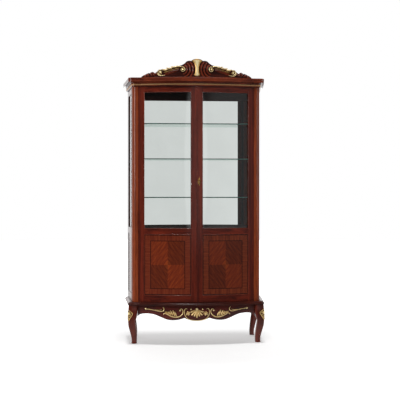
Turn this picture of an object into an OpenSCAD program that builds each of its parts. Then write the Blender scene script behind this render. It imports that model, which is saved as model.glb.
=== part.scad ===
// Two-door display cabinet: glazed and mirrored above, cupboard below.
// The front is bowed, the corner posts are canted and the sides splay towards the back.
// Plan sizes are laid out from the plane through the outer edges of the two doors.

/* [Body] */
// Half the width between the corner posts at the front
opening_half = 461; // [420:1:500]
// How far the doors bow out past the plane of their outer edges
front_bow = 63.5; // [45:0.5:80]
// Width of a corner post, seen from the front
post_w = 47.5; // [40:0.5:60]
// Depth of the canted face of a corner post
post_cant = 35; // [25:1:45]
// How much wider each side is at the back than at its corner post
side_splay = 39.5; // [20:0.5:50]
// Distance from the door plane to the back of the cabinet
back_y = 362; // [340:1:400]
// Depth of a corner post along the side of the cabinet
post_depth = 53; // [40:1:70]
// Thickness of the side frames
side_t = 22; // [18:1:26]
// Width of a rear post
rear_post_w = 40; // [34:1:48]
// Depth of a rear post
rear_post_depth = 46; // [40:1:56]
// Height by which the two reeds of a corner post stand out of its shaft
reed_relief = 6; // [3:0.5:9]
// Radius of each reed
reed_r = 13; // [11:0.5:15]
// Height of the plain block at the foot of a corner post
post_foot_h = 86; // [60:1:110]
// Height of the plain block at the head of a corner post
post_head_h = 64; // [50:1:90]

/* [Heights] */
// Height of the underside of the base board
base_z = 308; // [280:1:330]
// Thickness of the base board
base_board_t = 24; // [18:1:28]
// Height of the doors
door_h = 1699.5; // [1600:0.5:1800]
// Thickness of the top board
top_board_t = 18; // [15:1:22]
// Height of the cornice moulding
cornice_h = 66.5; // [60:0.5:80]
// Height of the crest above the cornice
crest_h = 143; // [120:1:160]

/* [Doors] */
// Thickness of a door
door_t = 20; // [18:1:24]
// Gap above and below the doors
door_gap = 2; // [1.5:0.5:3]
// Gap between a door and its corner post
side_gap = 1.5; // [1:0.5:2.5]
// Gap between the two doors
meeting_gap = 2; // [1:0.5:3]
// Gap between the doors and the edge of the display floor
stop_gap = 1.5; // [1:0.5:2.5]
// Width of an outer stile
outer_stile_w = 47.5; // [40:0.5:60]
// Width of a meeting stile
meeting_stile_w = 45.6; // [38:0.1:60]
// Width of the top rail
top_rail_w = 45; // [35:1:60]
// Width of the middle rail
mid_rail_w = 49.5; // [40:0.5:60]
// Width of the bottom rail
bottom_rail_w = 54.5; // [40:0.5:70]
// Height of the lower panel between its rails
panel_h = 477.5; // [400:0.5:560]
// Thickness of the wood in front of a pane or panel
lip_t = 10; // [8:0.5:11]
// Width of the rebate that holds a pane or panel
rebate_w = 8; // [6:0.5:10]
// Thickness of the glass panes and of the edge of the panels
pane_t = 4; // [3:0.5:5]
// Distance from the face of a frame to the raised field of its panel
field_drop = 3; // [2:0.5:6]
// Gap round a pane or panel inside its rebate
pane_gap = 0.3; // [0.2:0.1:0.8]
// Gap at the joints of the beads
bead_gap = 0.2; // [0.1:0.1:0.4]
// Distance from the face of a door to its pivot
pivot_inset = 8; // [7:0.5:9]
// Radius of a pivot pin
pivot_r = 3; // [2.5:0.5:4]
// Length of a pivot pin that stands out of the door
pivot_reach = 11; // [8:1:13]
// Length of a pivot pin inside the door
pivot_shank = 22; // [15:1:30]
// Outer radius of a pivot socket
socket_r = 6; // [5:0.5:7]
// Depth of a pivot socket
socket_h = 12; // [10:1:15]
// Running clearance of pins, bolts and followers
running = 0.05; // [0.03:0.01:0.1]

/* [Inside] */
// Height of the lower edge of the door's glass above the display floor
floor_drop = 0.5; // [0:0.5:4]
// Thickness of the display floor
floor_t = 24; // [18:1:28]
// Thickness of a glass shelf
shelf_t = 8; // [6:1:10]
// Height of the top of the upper glass shelf
upper_shelf_z = 1750; // [1650:1:1850]
// Height of the top of the middle glass shelf
middle_shelf_z = 1469; // [1380:1:1560]
// Height of the top of the lower glass shelf
lower_shelf_z = 1162; // [1080:1:1280]
// Thickness of the wooden shelf in the cupboard
wooden_shelf_t = 18; // [15:1:22]
// Height of the top of the wooden shelf
wooden_shelf_z = 620; // [520:1:720]
// Distance from the door plane to the straight front edge of the shelves
shelf_front_y = 30; // [28:1:60]
// Gap between a shelf and what it fits between
shelf_gap = 3; // [2:0.5:5]
// Radius of a shelf pin
pin_r = 2.5; // [2:0.5:3]
// Length of a shelf pin that stands out of its post
pin_reach = 12; // [9:1:15]
// Length of a shelf pin inside its post
pin_shank = 10; // [8:1:14]
// Distance from the door plane to the face of the mirror
mirror_y = 338; // [325:1:345]
// Thickness of the mirror
mirror_t = 4; // [3:0.5:5]
// Thickness of the back boards
back_board_t = 8; // [6:1:10]
// Height of a back rail
back_rail_h = 60; // [40:1:80]

/* [Mouldings] */
// How far the cornice stands out in front of the doors
cornice_reach = 42; // [36:1:48]
// Distance from a corner post to the end of the bowed part of the mouldings
break_inset = 23; // [16:1:41]
// How far the cornice stands out beside the corner posts
cornice_corner_reach = 28; // [24:0.5:40]
// How far the cornice stands out beside the rear posts
cornice_rear_reach = 39; // [30:1:44]
// How far the base moulding stands out in front of the doors
base_reach = 40; // [34:1:44]
// How far the base moulding stands out beside the corner posts
base_corner_reach = 31.5; // [26:0.5:40]
// How far the base moulding stands out beside the rear posts
base_rear_reach = 23; // [20:1:40]
// Width of the wood of the cornice moulding in front of the top board
cornice_seat = 34; // [32:1:36]
// Width of the wood of the base moulding in front of the base board
base_seat = 30; // [26:1:32]
// Height of the gilt bead
bead_h = 12; // [8:1:14]
// Thickness of the gilt bead
bead_t = 6; // [4:1:8]
// Thickness of the panel that closes the cornice
cornice_panel_t = 6; // [4:1:8]

/* [Crest and carving] */
// Thickness of the crest board
crest_t = 22; // [18:1:28]
// How far the middle of the crest board stands in front of the doors
crest_out = 16; // [12:1:20]
// Relief of the gilt carving on the crest
crest_relief = 9; // [5:1:12]
// Thickness of the front apron
apron_t = 22; // [18:1:26]
// How far the front apron stands out in front of the doors
apron_out = 6; // [2:1:10]
// Relief of the gilt carving on the apron
apron_relief = 7; // [4:1:9]
// Thickness of the gilt carving on the knees
knee_relief = 3; // [2:0.5:5]

/* [Legs] */
// Distance from the outer edge of a corner post to the middle of the foot below it
foot_inset = 13.5; // [8:0.5:20]
// Distance from the door plane to the middle of a front foot
foot_y = 14; // [10:1:25]
// Depth of a rear leg
rear_leg_depth = 38; // [34:1:44]
// Radius of the rounded edges of a leg
leg_edge_r = 11; // [6:1:14]
// Gap between a leg and the aprons that end on it
joint_gap = 0.3; // [0.2:0.1:0.5]
// Height of a glide
glide_h = 4; // [3:1:6]
// Radius of a glide
glide_r = 14; // [10:1:16]
// Thickness of the side aprons
side_apron_t = 20; // [16:1:24]
// Height of the side aprons where they meet the legs
side_apron_h = 78; // [60:1:90]
// Height of the side aprons at the top of their arch
side_arch_h = 52; // [40:1:60]
// Thickness of the rear rail
rear_rail_t = 20; // [16:1:24]
// Height of the rear rail
rear_rail_h = 60; // [50:1:80]
// Length of the sides of a corner block
block_side = 60; // [40:1:80]
// Height of a corner block
block_h = 50; // [30:1:60]

/* [Lock and bolts] */
// Distance from the middle of the cabinet to the lock's follower
lock_x = 18; // [16:1:20]
// Height of the lock's follower
lock_z = 1283; // [1200:1:1400]
// Travel of the lock bolt
lock_throw = 8; // [6:0.5:9]
// Thickness of the lock case
lock_t = 11; // [10:0.5:12]
// Thickness of the walls of the lock case
lock_wall = 1.5; // [1:0.5:2]
// Thickness of the escutcheon
escutcheon_t = 2; // [1.5:0.5:3]
// Distance from the middle of the cabinet to the barrel bolts
barrel_x = 24; // [20:1:28]
// Radius of a barrel bolt
barrel_r = 3; // [2.5:0.5:4]
// Length of a barrel bolt
barrel_l = 84; // [70:1:100]
// Travel of a barrel bolt
barrel_throw = 12; // [8:1:14]

/* [Hidden] */

mahogany = "#5a2219";
dark_mahogany = "#3c1714";
veneer = "#7a3a20";
gilt = "#c8a45c";
brass = "#b8923e";
pane_colour = "#a9c4bb";
silver = "#c9cfcb";
steel = "#8c8c8c";

arc_fn = 720;
cut = 1;
skin = 0.1;

// Heights
base_top_z = base_z + base_board_t;
door_bottom_z = base_top_z + door_gap;
door_top_z = door_bottom_z + door_h;
carcass_top_z = door_top_z + door_gap;
cornice_top_z = carcass_top_z + cornice_h;
panel_bottom_z = door_bottom_z + bottom_rail_w;
panel_top_z = panel_bottom_z + panel_h;
glass_bottom_z = panel_top_z + mid_rail_w;
glass_top_z = door_top_z - top_rail_w;
floor_top_z = glass_bottom_z - floor_drop;
floor_z = floor_top_z - floor_t;
post_h = carcass_top_z - base_top_z;

// Plan of the bowed front: circles round one centre behind the cabinet
bow_r = (opening_half * opening_half + front_bow * front_bow) / (2 * front_bow);
bow_y = bow_r - front_bow;
function bow_at(r, x) = bow_y - sqrt(r * r - x * x);

// The plan is centred on the whole depth of the cabinet
front_y = -front_bow - cornice_reach;
middle_y = (front_y + back_y) / 2;

// Plan of the sides
post_outer_x = opening_half + post_w;
rear_half = post_outer_x + side_splay;
foot_x = post_outer_x - foot_inset;
post_back_y = post_cant + post_depth;
rear_front_y = back_y - rear_post_depth;
rear_inner_x = rear_half - rear_post_w;
side_slope = (rear_half - post_outer_x) / (back_y - post_cant);
side_stretch = sqrt(1 + side_slope * side_slope);
function side_x(y, inset = 0) = post_outer_x + side_slope * (y - post_cant) - inset * side_stretch;

// Doors
pivot_edge_r = door_t - pivot_inset;
pivot_x = opening_half - side_gap - pivot_edge_r;
pivot_y = bow_at(bow_r - pivot_inset, pivot_x);
door_inner_x = meeting_gap / 2;
sight_in = door_inner_x + meeting_stile_w;
sight_out = opening_half - side_gap - outer_stile_w;

// Splines through a few hand-set points
function knot(p, i) = p[max(0, min(len(p) - 1, i))];
function spline_point(a, b, c, d, t) =
    (2 * b + (c - a) * t + (2 * a - 5 * b + 4 * c - d) * t * t + (3 * b - a - 3 * c + d) * t * t * t) / 2;
function spline(p, n) = [for (i = [0:len(p) - 2]) for (s = [0:n - 1])
    spline_point(knot(p, i - 1), p[i], p[i + 1], knot(p, i + 2), s / n), p[len(p) - 1]];
function reversed(p) = [for (i = [len(p) - 1:-1:0]) p[i]];
function unit(v) = v / norm(v);
function left_normal(a, b) = let (u = unit(b - a)) [-u[1], u[0]];

// A ribbon along points, from width w0 at its start to w1 at its end
function ribbon_side(p, i, w) = p[i] + w / 2 * left_normal(knot(p, i - 1), knot(p, i + 1));
function ribbon(p, w0, w1) = let (last = len(p) - 1) concat(
    [for (i = [0:last]) ribbon_side(p, i, w0 + (w1 - w0) * i / last)],
    [for (i = [last:-1:0]) ribbon_side(p, i, -w0 - (w1 - w0) * i / last)]);

// Outer line of a moulding: back left, front corner, bowed front, front corner, back right
rim_steps = 10;
break_x = opening_half - break_inset;
function rim(reach, corner_x, rear_x) = concat(
    [[-rear_x, back_y], [-corner_x, 0]],
    [for (s = [-rim_steps:rim_steps]) let (x = break_x * s / rim_steps) [x, bow_at(bow_r + reach, x)]],
    [[corner_x, 0], [rear_x, back_y]]);
cornice_rim = rim(cornice_reach, post_outer_x + cornice_corner_reach, rear_half + cornice_rear_reach);
base_rim = rim(base_reach, post_outer_x + base_corner_reach, rear_half + base_rear_reach);

// The point of a rim moved inwards by d, on the mitre of its two sides
function inset_point(path, i, d) =
    i == 0 ? path[0] + [d / left_normal(path[0], path[1])[0], 0] :
    i == len(path) - 1 ? path[i] + [d / left_normal(path[i - 1], path[i])[0], 0] :
    let (a = left_normal(path[i - 1], path[i]), b = left_normal(path[i], path[i + 1]))
        path[i] + d * (a + b) / (1 + a * b);
function inset_rim(path, d) = [for (i = [0:len(path) - 1]) inset_point(path, i, d)];

// Closed skin over rings that hold the same number of points
function ring_faces(rings, size) = concat(
    [[for (j = [0:size - 1]) j]],
    [for (i = [0:rings - 2]) for (j = [0:size - 1]) let (k = (j + 1) % size, a = i * size, b = a + size)
        [a + k, a + j, b + j]],
    [for (i = [0:rings - 2]) for (j = [0:size - 1]) let (k = (j + 1) % size, a = i * size, b = a + size)
        [a + k, b + j, b + k]],
    [[for (j = [size - 1:-1:0]) (rings - 1) * size + j]]);
module loft(rings) {
    polyhedron(points = [for (ring = rings) for (p = ring) p], faces = ring_faces(len(rings), len(rings[0])));
}

// Moves a piece from the plan's door plane to the middle of the cabinet
module centred() {
    translate([0, -middle_y, 0]) children();
}

module mirrored_pair() {
    children();
    mirror([1, 0, 0]) children();
}

// Right-hand pieces are drawn; left-hand ones are their mirror images
module on_side(side) {
    mirror([side < 0 ? 1 : 0, 0, 0]) children();
}

// Plan band between two circles of the bow
module bow_band(r_in, r_out, x_lo, x_hi) {
    intersection() {
        translate([0, bow_y]) difference() {
            circle(r = r_out, $fn = arc_fn);
            circle(r = r_in, $fn = arc_fn);
        }
        translate([x_lo, -back_y]) square([x_hi - x_lo, 2 * back_y]);
    }
}

module bow_piece(r_in, r_out, x_lo, x_hi, z_lo, z_hi) {
    translate([0, 0, z_lo]) linear_extrude(z_hi - z_lo) bow_band(r_in, r_out, x_lo, x_hi);
}

// A flat outline in X and Z, cut out of a band of the bow
module bowed_relief(r_in, r_out, half_w, z_lo, z_hi) {
    intersection() {
        bow_piece(r_in, r_out, -half_w, half_w, z_lo, z_hi);
        translate([0, back_y, 0]) rotate([90, 0, 0]) linear_extrude(2 * back_y) children();
    }
}

// Length of moulding between two points of a rim; profile holds [inset, height]
module moulding(path, from, to, profile) {
    loft([for (i = [from:to]) [for (p = profile) let (q = inset_point(path, i, p[0])) [q[0], q[1], p[1]]]]);
}

module board(path, inset, z, t) {
    translate([0, 0, z]) linear_extrude(t) polygon(inset_rim(path, inset));
}

// ---------- legs and base ----------

// Height, inner and outer faces of a leg, measured outwards from the middle of its foot
leg_sections = [[base_z, -28, 24], [290, -28, 30], [261, -28, 39], [232, -27, 45], [205, -21, 46],
    [180, -13, 44], [142, -14, 36], [100, -17, 27], [50, -21.5, 16.5], [20, -21, 16.5], [glide_h, -19, 19]];
leg_steps = 2;
edge_steps = 4;

function rounded_ring(x0, x1, y0, y1, r, z) = [for (c = [0:3]) for (s = [0:edge_steps - 1])
    let (a = 90 * (c + s / (edge_steps - 1)))
        [(c == 0 || c == 3 ? x1 - r : x0 + r) + r * cos(a), (c < 2 ? y1 - r : y0 + r) + r * sin(a), z]];

module front_leg(grow = 0) {
    loft([for (s = reversed(spline(leg_sections, leg_steps))) rounded_ring(foot_x + s[1] - grow,
        foot_x + s[2] + grow, foot_y - s[2] - grow, foot_y - s[1] + grow, leg_edge_r + grow, s[0])]);
}

module rear_leg() {
    loft([for (s = reversed(spline(leg_sections, leg_steps))) rounded_ring(foot_x + s[1],
        foot_x + s[2], back_y - rear_leg_depth, back_y, leg_edge_r, s[0])]);
}

module front_leg_left() {
    color(mahogany) centred() on_side(-1) front_leg();
}

module front_leg_right() {
    color(mahogany) centred() on_side(1) front_leg();
}

module rear_legs() {
    color(dark_mahogany) centred() mirrored_pair() rear_leg();
}

module foot_glides() {
    color(steel) centred() mirrored_pair() {
        translate([foot_x, foot_y, 0]) cylinder(r = glide_r, h = glide_h);
        translate([foot_x, back_y - rear_leg_depth / 2, 0]) cylinder(r = glide_r, h = glide_h);
    }
}

// Leaf outline of a knee carving, across the corner of the leg
knee_leaf = [[0, 268], [14, 262], [26, 240], [22, 220], [10, 200], [0, 180]];

module knee_carving() {
    leaf = spline(knee_leaf, 3);
    difference() {
        intersection() {
            front_leg(knee_relief);
            translate([foot_x, foot_y, 0]) rotate([90, 0, 45]) linear_extrude(2 * post_depth)
                polygon(concat(leaf, reversed([for (p = leaf) [-p[0], p[1]]])));
        }
        front_leg();
    }
}

module knee_carvings() {
    color(gilt) centred() mirrored_pair() knee_carving();
}

// Lower edge of the front apron: middle lobe to the cusp, then side lobe and arch, which end 467 from the
// middle and are stretched to the leg
apron_end_x = foot_x + leg_sections[0][1] - joint_gap;
apron_middle = [[0, 192], [30, 193.5], [60, 200], [84, 208], [97, 214]];
apron_wing = [[97, 214], [120, 206.5], [150, 199], [190, 195.5], [225, 199], [255, 208], [292, 224],
    [335, 242], [379, 248.5], [420, 244.5], [448, 235], [467, 225]];
function stretched(p, to) = let (x0 = p[0][0], share = (to - x0) / (p[len(p) - 1][0] - x0))
    [for (q = p) [x0 + share * (q[0] - x0), q[1]]];
function apron_edge() = concat(spline(apron_middle, 3), spline(stretched(apron_wing, apron_end_x), 3));

module front_apron() {
    color(mahogany) centred() bowed_relief(bow_r + apron_out - apron_t, bow_r + apron_out, apron_end_x,
        apron_middle[0][1], base_z)
        mirrored_pair() polygon(concat(apron_edge(), [[apron_end_x, base_z], [0, base_z]]));
}

// Gilt carving of the apron, right half; each scroll is a ribbon along its own line
rim_scroll = [[0, 197], [32, 199], [62, 207], [86, 222], [99, 243], [101, 266], [92, 284], [78, 288]];
c_scroll = [[122, 270], [119, 281], [107, 277], [104, 258], [114, 238], [138, 223], [168, 218],
    [200, 226], [230, 239], [256, 240]];
rod_scroll = [[266, 292], [257, 281], [262, 268], [282, 264], [320, 269], [362, 276], [400, 280]];
apron_leaf = [[168, 219], [172, 246], [190, 272], [204, 256], [224, 236]];
shell = [[0, 291], [20, 286], [48, 284], [60, 268], [46, 246], [24, 232], [0, 214]];

module apron_carving_half() {
    polygon(ribbon(spline(rim_scroll, 3), 8, 7));
    polygon(ribbon(spline(c_scroll, 3), 9, 11));
    polygon(ribbon(spline(rod_scroll, 3), 8, 7));
    polygon(spline(apron_leaf, 3));
    polygon(concat([[-cut, shell[0][1]]], spline(shell, 3), [[-cut, shell[6][1]]]));
    translate(rod_scroll[6]) circle(r = 7.5, $fn = 24);
}

module apron_carving() {
    color(gilt) centred() bowed_relief(bow_r + apron_out, bow_r + apron_out + apron_relief, apron_end_x,
        apron_middle[0][1], base_z) mirrored_pair() apron_carving_half();
}

// Side aprons run between the front and rear legs, with an arched lower edge
side_apron_front_y = foot_y - leg_sections[0][1] + joint_gap;
side_apron_back_y = back_y - rear_leg_depth - joint_gap;
side_apron_x = foot_x + leg_sections[0][2] - 4;
side_apron_arch = [[side_apron_front_y, base_z - side_apron_h], [side_apron_front_y + 30, base_z - side_arch_h - 14],
    [side_apron_front_y + 80, base_z - side_arch_h], [side_apron_back_y - 80, base_z - side_arch_h],
    [side_apron_back_y - 30, base_z - side_arch_h - 14], [side_apron_back_y, base_z - side_apron_h]];

module side_aprons() {
    color(dark_mahogany) centred() mirrored_pair() translate([side_apron_x - side_apron_t, 0, 0])
        rotate([90, 0, 90]) linear_extrude(side_apron_t)
            polygon(concat(spline(side_apron_arch, 4), [[side_apron_back_y, base_z], [side_apron_front_y, base_z]]));
}

module rear_rail() {
    color(dark_mahogany) centred() translate([-apron_end_x, side_apron_back_y, base_z - rear_rail_h])
        cube([2 * apron_end_x, rear_rail_t, rear_rail_h]);
}

// Glued blocks in the four inner corners of the base
module corner_block() {
    translate([0, 0, base_z - block_h]) linear_extrude(block_h) polygon([[0, 0], [-block_side, 0], [0, block_side]]);
}

module corner_blocks() {
    inner_x = side_apron_x - side_apron_t;
    color(veneer) centred() mirrored_pair() {
        translate([inner_x, side_apron_front_y, 0]) corner_block();
        translate([inner_x, side_apron_back_y, 0]) mirror([0, 1, 0]) corner_block();
    }
}

// ---------- base board and its moulding ----------

module base_board() {
    color(dark_mahogany) centred() difference() {
        board(base_rim, base_seat, base_z, base_board_t);
        mirrored_pair() translate([pivot_x, pivot_y, base_top_z - socket_h]) cylinder(r = socket_r, h = socket_h + cut);
        translate([-barrel_x, barrel_y, base_top_z - barrel_throw - cut])
            cylinder(r = barrel_r + pane_gap, h = barrel_throw + 2 * cut);
    }
}

base_profile = [[base_seat, base_z], [6, base_z], [2, base_z + 1.5], [0, base_z + 5], [0, base_z + 13],
    [1.5, base_z + 15], [6, base_z + 16.5], [12, base_z + 18.5], [18, base_z + 22], [22, base_top_z],
    [base_seat, base_top_z]];
last_corner = len(base_rim) - 2;

module base_moulding_front() {
    color(dark_mahogany) centred() moulding(base_rim, 1, last_corner, base_profile);
}

module base_moulding_sides() {
    color(dark_mahogany) centred() {
        moulding(base_rim, 0, 1, base_profile);
        moulding(base_rim, last_corner, last_corner + 1, base_profile);
    }
}

// ---------- corner posts, rear posts and side frames ----------

cant_dir = unit([post_outer_x - opening_half, post_cant]);
cant_out = [cant_dir[1], -cant_dir[0]];
cant_len = norm([post_outer_x - opening_half, post_cant]);
post_inner_y = 42;

module post_plan(setback) {
    polygon([[opening_half, 0] - cant_out * setback,
        [post_outer_x, post_cant] - cant_out * setback,
        [side_x(post_back_y), post_back_y],
        [side_x(post_back_y, side_t), post_back_y],
        [opening_half, post_inner_y]]);
}

// The shaft stands back from the blocks, and its two reeds come out to their face
module shaft_plan() {
    intersection() {
        post_plan(0);
        union() {
            post_plan(reed_relief);
            for (share = [0.28, 0.72])
                translate([opening_half, 0] + cant_dir * cant_len * share - cant_out * reed_r)
                    circle(r = reed_r, $fn = 64);
        }
    }
}

// Space inside a side frame, between two heights, from one depth below its face to another
module side_slab(d0, d1, y0, y1, z0, z1) {
    translate([0, 0, z0]) linear_extrude(z1 - z0)
        polygon([[side_x(y0, d0), y0], [side_x(y1, d0), y1], [side_x(y1, d1), y1], [side_x(y0, d1), y0]]);
}

// Rebate for a pane or panel, behind the lip of the frame
module side_rebate(z0, z1) {
    side_slab(lip_t, side_t + cut, post_back_y - rebate_w, rear_front_y + rebate_w, z0 - rebate_w, z1 + rebate_w);
}

module side_rebates() {
    side_rebate(glass_bottom_z, glass_top_z);
    side_rebate(panel_bottom_z, panel_top_z);
}

module shelf_pin_bores(r) {
    for (z = [upper_shelf_z - shelf_t, middle_shelf_z - shelf_t, lower_shelf_z - shelf_t,
            wooden_shelf_z - wooden_shelf_t]) translate([0, 0, z - pin_r]) rotate([0, 90, 0]) {
        translate([0, front_pin_y, front_pin_x - pin_reach]) cylinder(r = r, h = pin_reach + pin_shank);
        translate([0, rear_pin_y, rear_inner_x - pin_reach]) cylinder(r = r, h = pin_reach + pin_shank);
    }
}

// Pins stand in the inner face of the corner post and of the rear post
front_pin_y = 64;
front_pin_x = opening_half + (front_pin_y - post_inner_y) * (side_x(post_back_y, side_t) - opening_half)
    / (post_back_y - post_inner_y);
rear_pin_y = rear_front_y + 8;

module corner_post() {
    shaft_z = base_top_z + post_foot_h;
    shaft_h = post_h - post_foot_h - post_head_h;
    difference() {
        union() {
            translate([0, 0, base_top_z]) linear_extrude(post_foot_h) post_plan(0);
            translate([0, 0, shaft_z]) linear_extrude(shaft_h) shaft_plan();
            translate([0, 0, shaft_z + shaft_h]) linear_extrude(post_head_h) post_plan(0);
        }
        side_rebates();
        shelf_pin_bores(pin_r);
    }
}

module corner_post_left() {
    color(mahogany) centred() on_side(-1) corner_post();
}

module corner_post_right() {
    color(mahogany) centred() on_side(1) corner_post();
}

module rear_post() {
    difference() {
        translate([0, 0, base_top_z]) linear_extrude(post_h) polygon([[side_x(rear_front_y), rear_front_y],
            [side_x(back_y), back_y], [rear_inner_x, back_y], [rear_inner_x, rear_front_y]]);
        side_rebates();
        shelf_pin_bores(pin_r);
    }
}

module rear_posts() {
    color(dark_mahogany) centred() mirrored_pair() rear_post();
}

module side_rail(z0, z1) {
    difference() {
        side_slab(0, side_t, post_back_y, rear_front_y, z0, z1);
        side_rebates();
    }
}

module side_rails() {
    side_rail(base_top_z, panel_bottom_z);
    side_rail(panel_top_z, glass_bottom_z);
    side_rail(glass_top_z, carcass_top_z);
}

module side_rails_left() {
    color(mahogany) centred() on_side(-1) side_rails();
}

module side_rails_right() {
    color(mahogany) centred() on_side(1) side_rails();
}

module side_pane(z0, z1) {
    reach = rebate_w - pane_gap;
    side_slab(lip_t, lip_t + pane_t, post_back_y - reach, rear_front_y + reach, z0 - reach, z1 + reach);
}

module side_glass() {
    color(pane_colour, 0.35) centred() mirrored_pair() side_pane(glass_bottom_z, glass_top_z);
}

module side_panel() {
    side_pane(panel_bottom_z, panel_top_z);
    side_slab(field_drop, lip_t, post_back_y + pane_gap, rear_front_y - pane_gap,
        panel_bottom_z + pane_gap, panel_top_z - pane_gap);
}

module side_panels() {
    color(veneer) centred() mirrored_pair() side_panel();
}

// Beads that hold a pane in its rebate: two uprights and two lengths between them
module side_bead_frame(z0, z1) {
    d0 = lip_t + pane_t;
    lo = post_back_y - rebate_w;
    hi = rear_front_y + rebate_w;
    side_slab(d0, side_t, lo, lo + rebate_w, z0 - rebate_w, z1 + rebate_w);
    side_slab(d0, side_t, hi - rebate_w, hi, z0 - rebate_w, z1 + rebate_w);
    side_slab(d0, side_t, lo + rebate_w + bead_gap, hi - rebate_w - bead_gap, z0 - rebate_w, z0);
    side_slab(d0, side_t, lo + rebate_w + bead_gap, hi - rebate_w - bead_gap, z1, z1 + rebate_w);
}

module side_beads() {
    color(mahogany) centred() mirrored_pair() {
        side_bead_frame(glass_bottom_z, glass_top_z);
        side_bead_frame(panel_bottom_z, panel_top_z);
    }
}

// ---------- inside ----------

// Plan inside the posts: cut corners at the corner posts, then back to the rear posts
module inner_plan(front, back, gap, rear_x) {
    half = [[opening_half - gap, front], [opening_half - gap, post_inner_y + gap / 2],
        [side_x(post_back_y, side_t) - gap, post_back_y + gap / 2], [rear_x - gap, rear_front_y],
        [rear_inner_x - gap, rear_front_y], [rear_inner_x - gap, back]];
    polygon(concat(half, reversed([for (p = half) [-p[0], p[1]]])));
}

module display_floor() {
    color(mahogany) centred() translate([0, 0, floor_z]) linear_extrude(floor_t) intersection() {
        inner_plan(-back_y, mirror_y + mirror_t + back_board_t, 0, side_x(rear_front_y, side_t));
        translate([0, bow_y]) circle(r = bow_r - door_t - stop_gap, $fn = arc_fn);
    }
}

module glass_shelf(z) {
    color(pane_colour, 0.5) centred() translate([0, 0, z - shelf_t]) linear_extrude(shelf_t)
        inner_plan(shelf_front_y, mirror_y - shelf_gap, shelf_gap, rear_inner_x);
}

module glass_shelf_upper() {
    glass_shelf(upper_shelf_z);
}

module glass_shelf_middle() {
    glass_shelf(middle_shelf_z);
}

module glass_shelf_lower() {
    glass_shelf(lower_shelf_z);
}

module wooden_shelf() {
    color(veneer) centred() translate([0, 0, wooden_shelf_z - wooden_shelf_t]) linear_extrude(wooden_shelf_t)
        inner_plan(shelf_front_y, mirror_y, shelf_gap, rear_inner_x);
}

module shelf_pins() {
    color(brass) centred() mirrored_pair() shelf_pin_bores(pin_r);
}

module mirror_glass() {
    color(silver) centred() translate([-rear_inner_x + pane_gap, mirror_y, floor_top_z])
        cube([2 * (rear_inner_x - pane_gap), mirror_t, carcass_top_z - floor_top_z]);
}

module back_boards() {
    color(dark_mahogany) centred() translate([-rear_inner_x, mirror_y + mirror_t, 0]) {
        translate([0, 0, floor_top_z]) cube([2 * rear_inner_x, back_board_t, carcass_top_z - floor_top_z]);
        translate([0, 0, base_top_z]) cube([2 * rear_inner_x, back_board_t, floor_z - base_top_z]);
    }
}

module back_rails() {
    rail_y = mirror_y + mirror_t + back_board_t;
    color(dark_mahogany) centred()
        for (z = [base_top_z, floor_z + floor_t / 2 - back_rail_h / 2, carcass_top_z - back_rail_h])
            translate([-rear_inner_x, rail_y, z]) cube([2 * rear_inner_x, back_y - rail_y, back_rail_h]);
}

// ---------- top board, cornice and crest ----------

module top_board() {
    color(dark_mahogany) centred() difference() {
        board(cornice_rim, cornice_seat, carcass_top_z, top_board_t);
        mirrored_pair() translate([pivot_x, pivot_y, carcass_top_z - cut]) cylinder(r = socket_r, h = socket_h + cut);
        translate([-barrel_x, barrel_y, carcass_top_z - cut])
            cylinder(r = barrel_r + pane_gap, h = barrel_throw + 2 * cut);
    }
}

// Insets of the cornice moulding, from its upper edge: wood below and above the bead, seats of bead and panel
bead_z = carcass_top_z + 8;
below_bead = 27;
above_bead = 23;
bead_seat = 29;
panel_seat = 40;
cornice_inner = 50;
cornice_panel_z = cornice_top_z - 2 - cornice_panel_t;
cornice_profile = [[cornice_seat, carcass_top_z], [below_bead, carcass_top_z], [below_bead, bead_z],
    [bead_seat, bead_z], [bead_seat, bead_z + bead_h], [above_bead, bead_z + bead_h],
    [above_bead, cornice_top_z - 37], [20, cornice_top_z - 33], [16, cornice_top_z - 31],
    [9, cornice_top_z - 26], [4, cornice_top_z - 20], [0, cornice_top_z - 17], [0, cornice_top_z],
    [panel_seat, cornice_top_z], [panel_seat, cornice_panel_z], [cornice_inner, cornice_panel_z],
    [cornice_inner, carcass_top_z + top_board_t], [cornice_seat, carcass_top_z + top_board_t]];

module cornice_front() {
    color(mahogany) centred() moulding(cornice_rim, 1, last_corner, cornice_profile);
}

module cornice_sides() {
    color(mahogany) centred() {
        moulding(cornice_rim, 0, 1, cornice_profile);
        moulding(cornice_rim, last_corner, last_corner + 1, cornice_profile);
    }
}

bead_shoulder = bead_seat - bead_t * 0.7;
bead_profile = [[bead_seat, bead_z], [bead_shoulder, bead_z], [bead_seat - bead_t, bead_z + bead_h * 0.3],
    [bead_seat - bead_t, bead_z + bead_h * 0.7], [bead_shoulder, bead_z + bead_h], [bead_seat, bead_z + bead_h]];

module cornice_gilt_bead() {
    color(gilt) centred() moulding(cornice_rim, 0, last_corner + 1, bead_profile);
}

module cornice_panel() {
    color(dark_mahogany) centred() board(cornice_rim, panel_seat, cornice_panel_z, cornice_panel_t);
}

// Outline of the crest board, right half, as heights above the cornice
crest_line = [[438, 0], [432, 10], [414, 19], [394, 29], [378, 35], [365, 33], [352, 44], [338, 36],
    [324, 34], [312, 46], [297, 61], [270, 61], [232, 67], [190, 78], [150, 88], [122, 94], [98, 108],
    [82, 123], [64, 129], [46, 129], [26, 138], [0, 141]];

module crest_board() {
    color(dark_mahogany) centred() bowed_relief(bow_r + crest_out - crest_t / 2, bow_r + crest_out + crest_t / 2,
        break_x, cornice_top_z, cornice_top_z + crest_h)
        translate([0, cornice_top_z]) mirrored_pair() polygon(concat(spline(crest_line, 2), [[0, 0]]));
}

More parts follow.
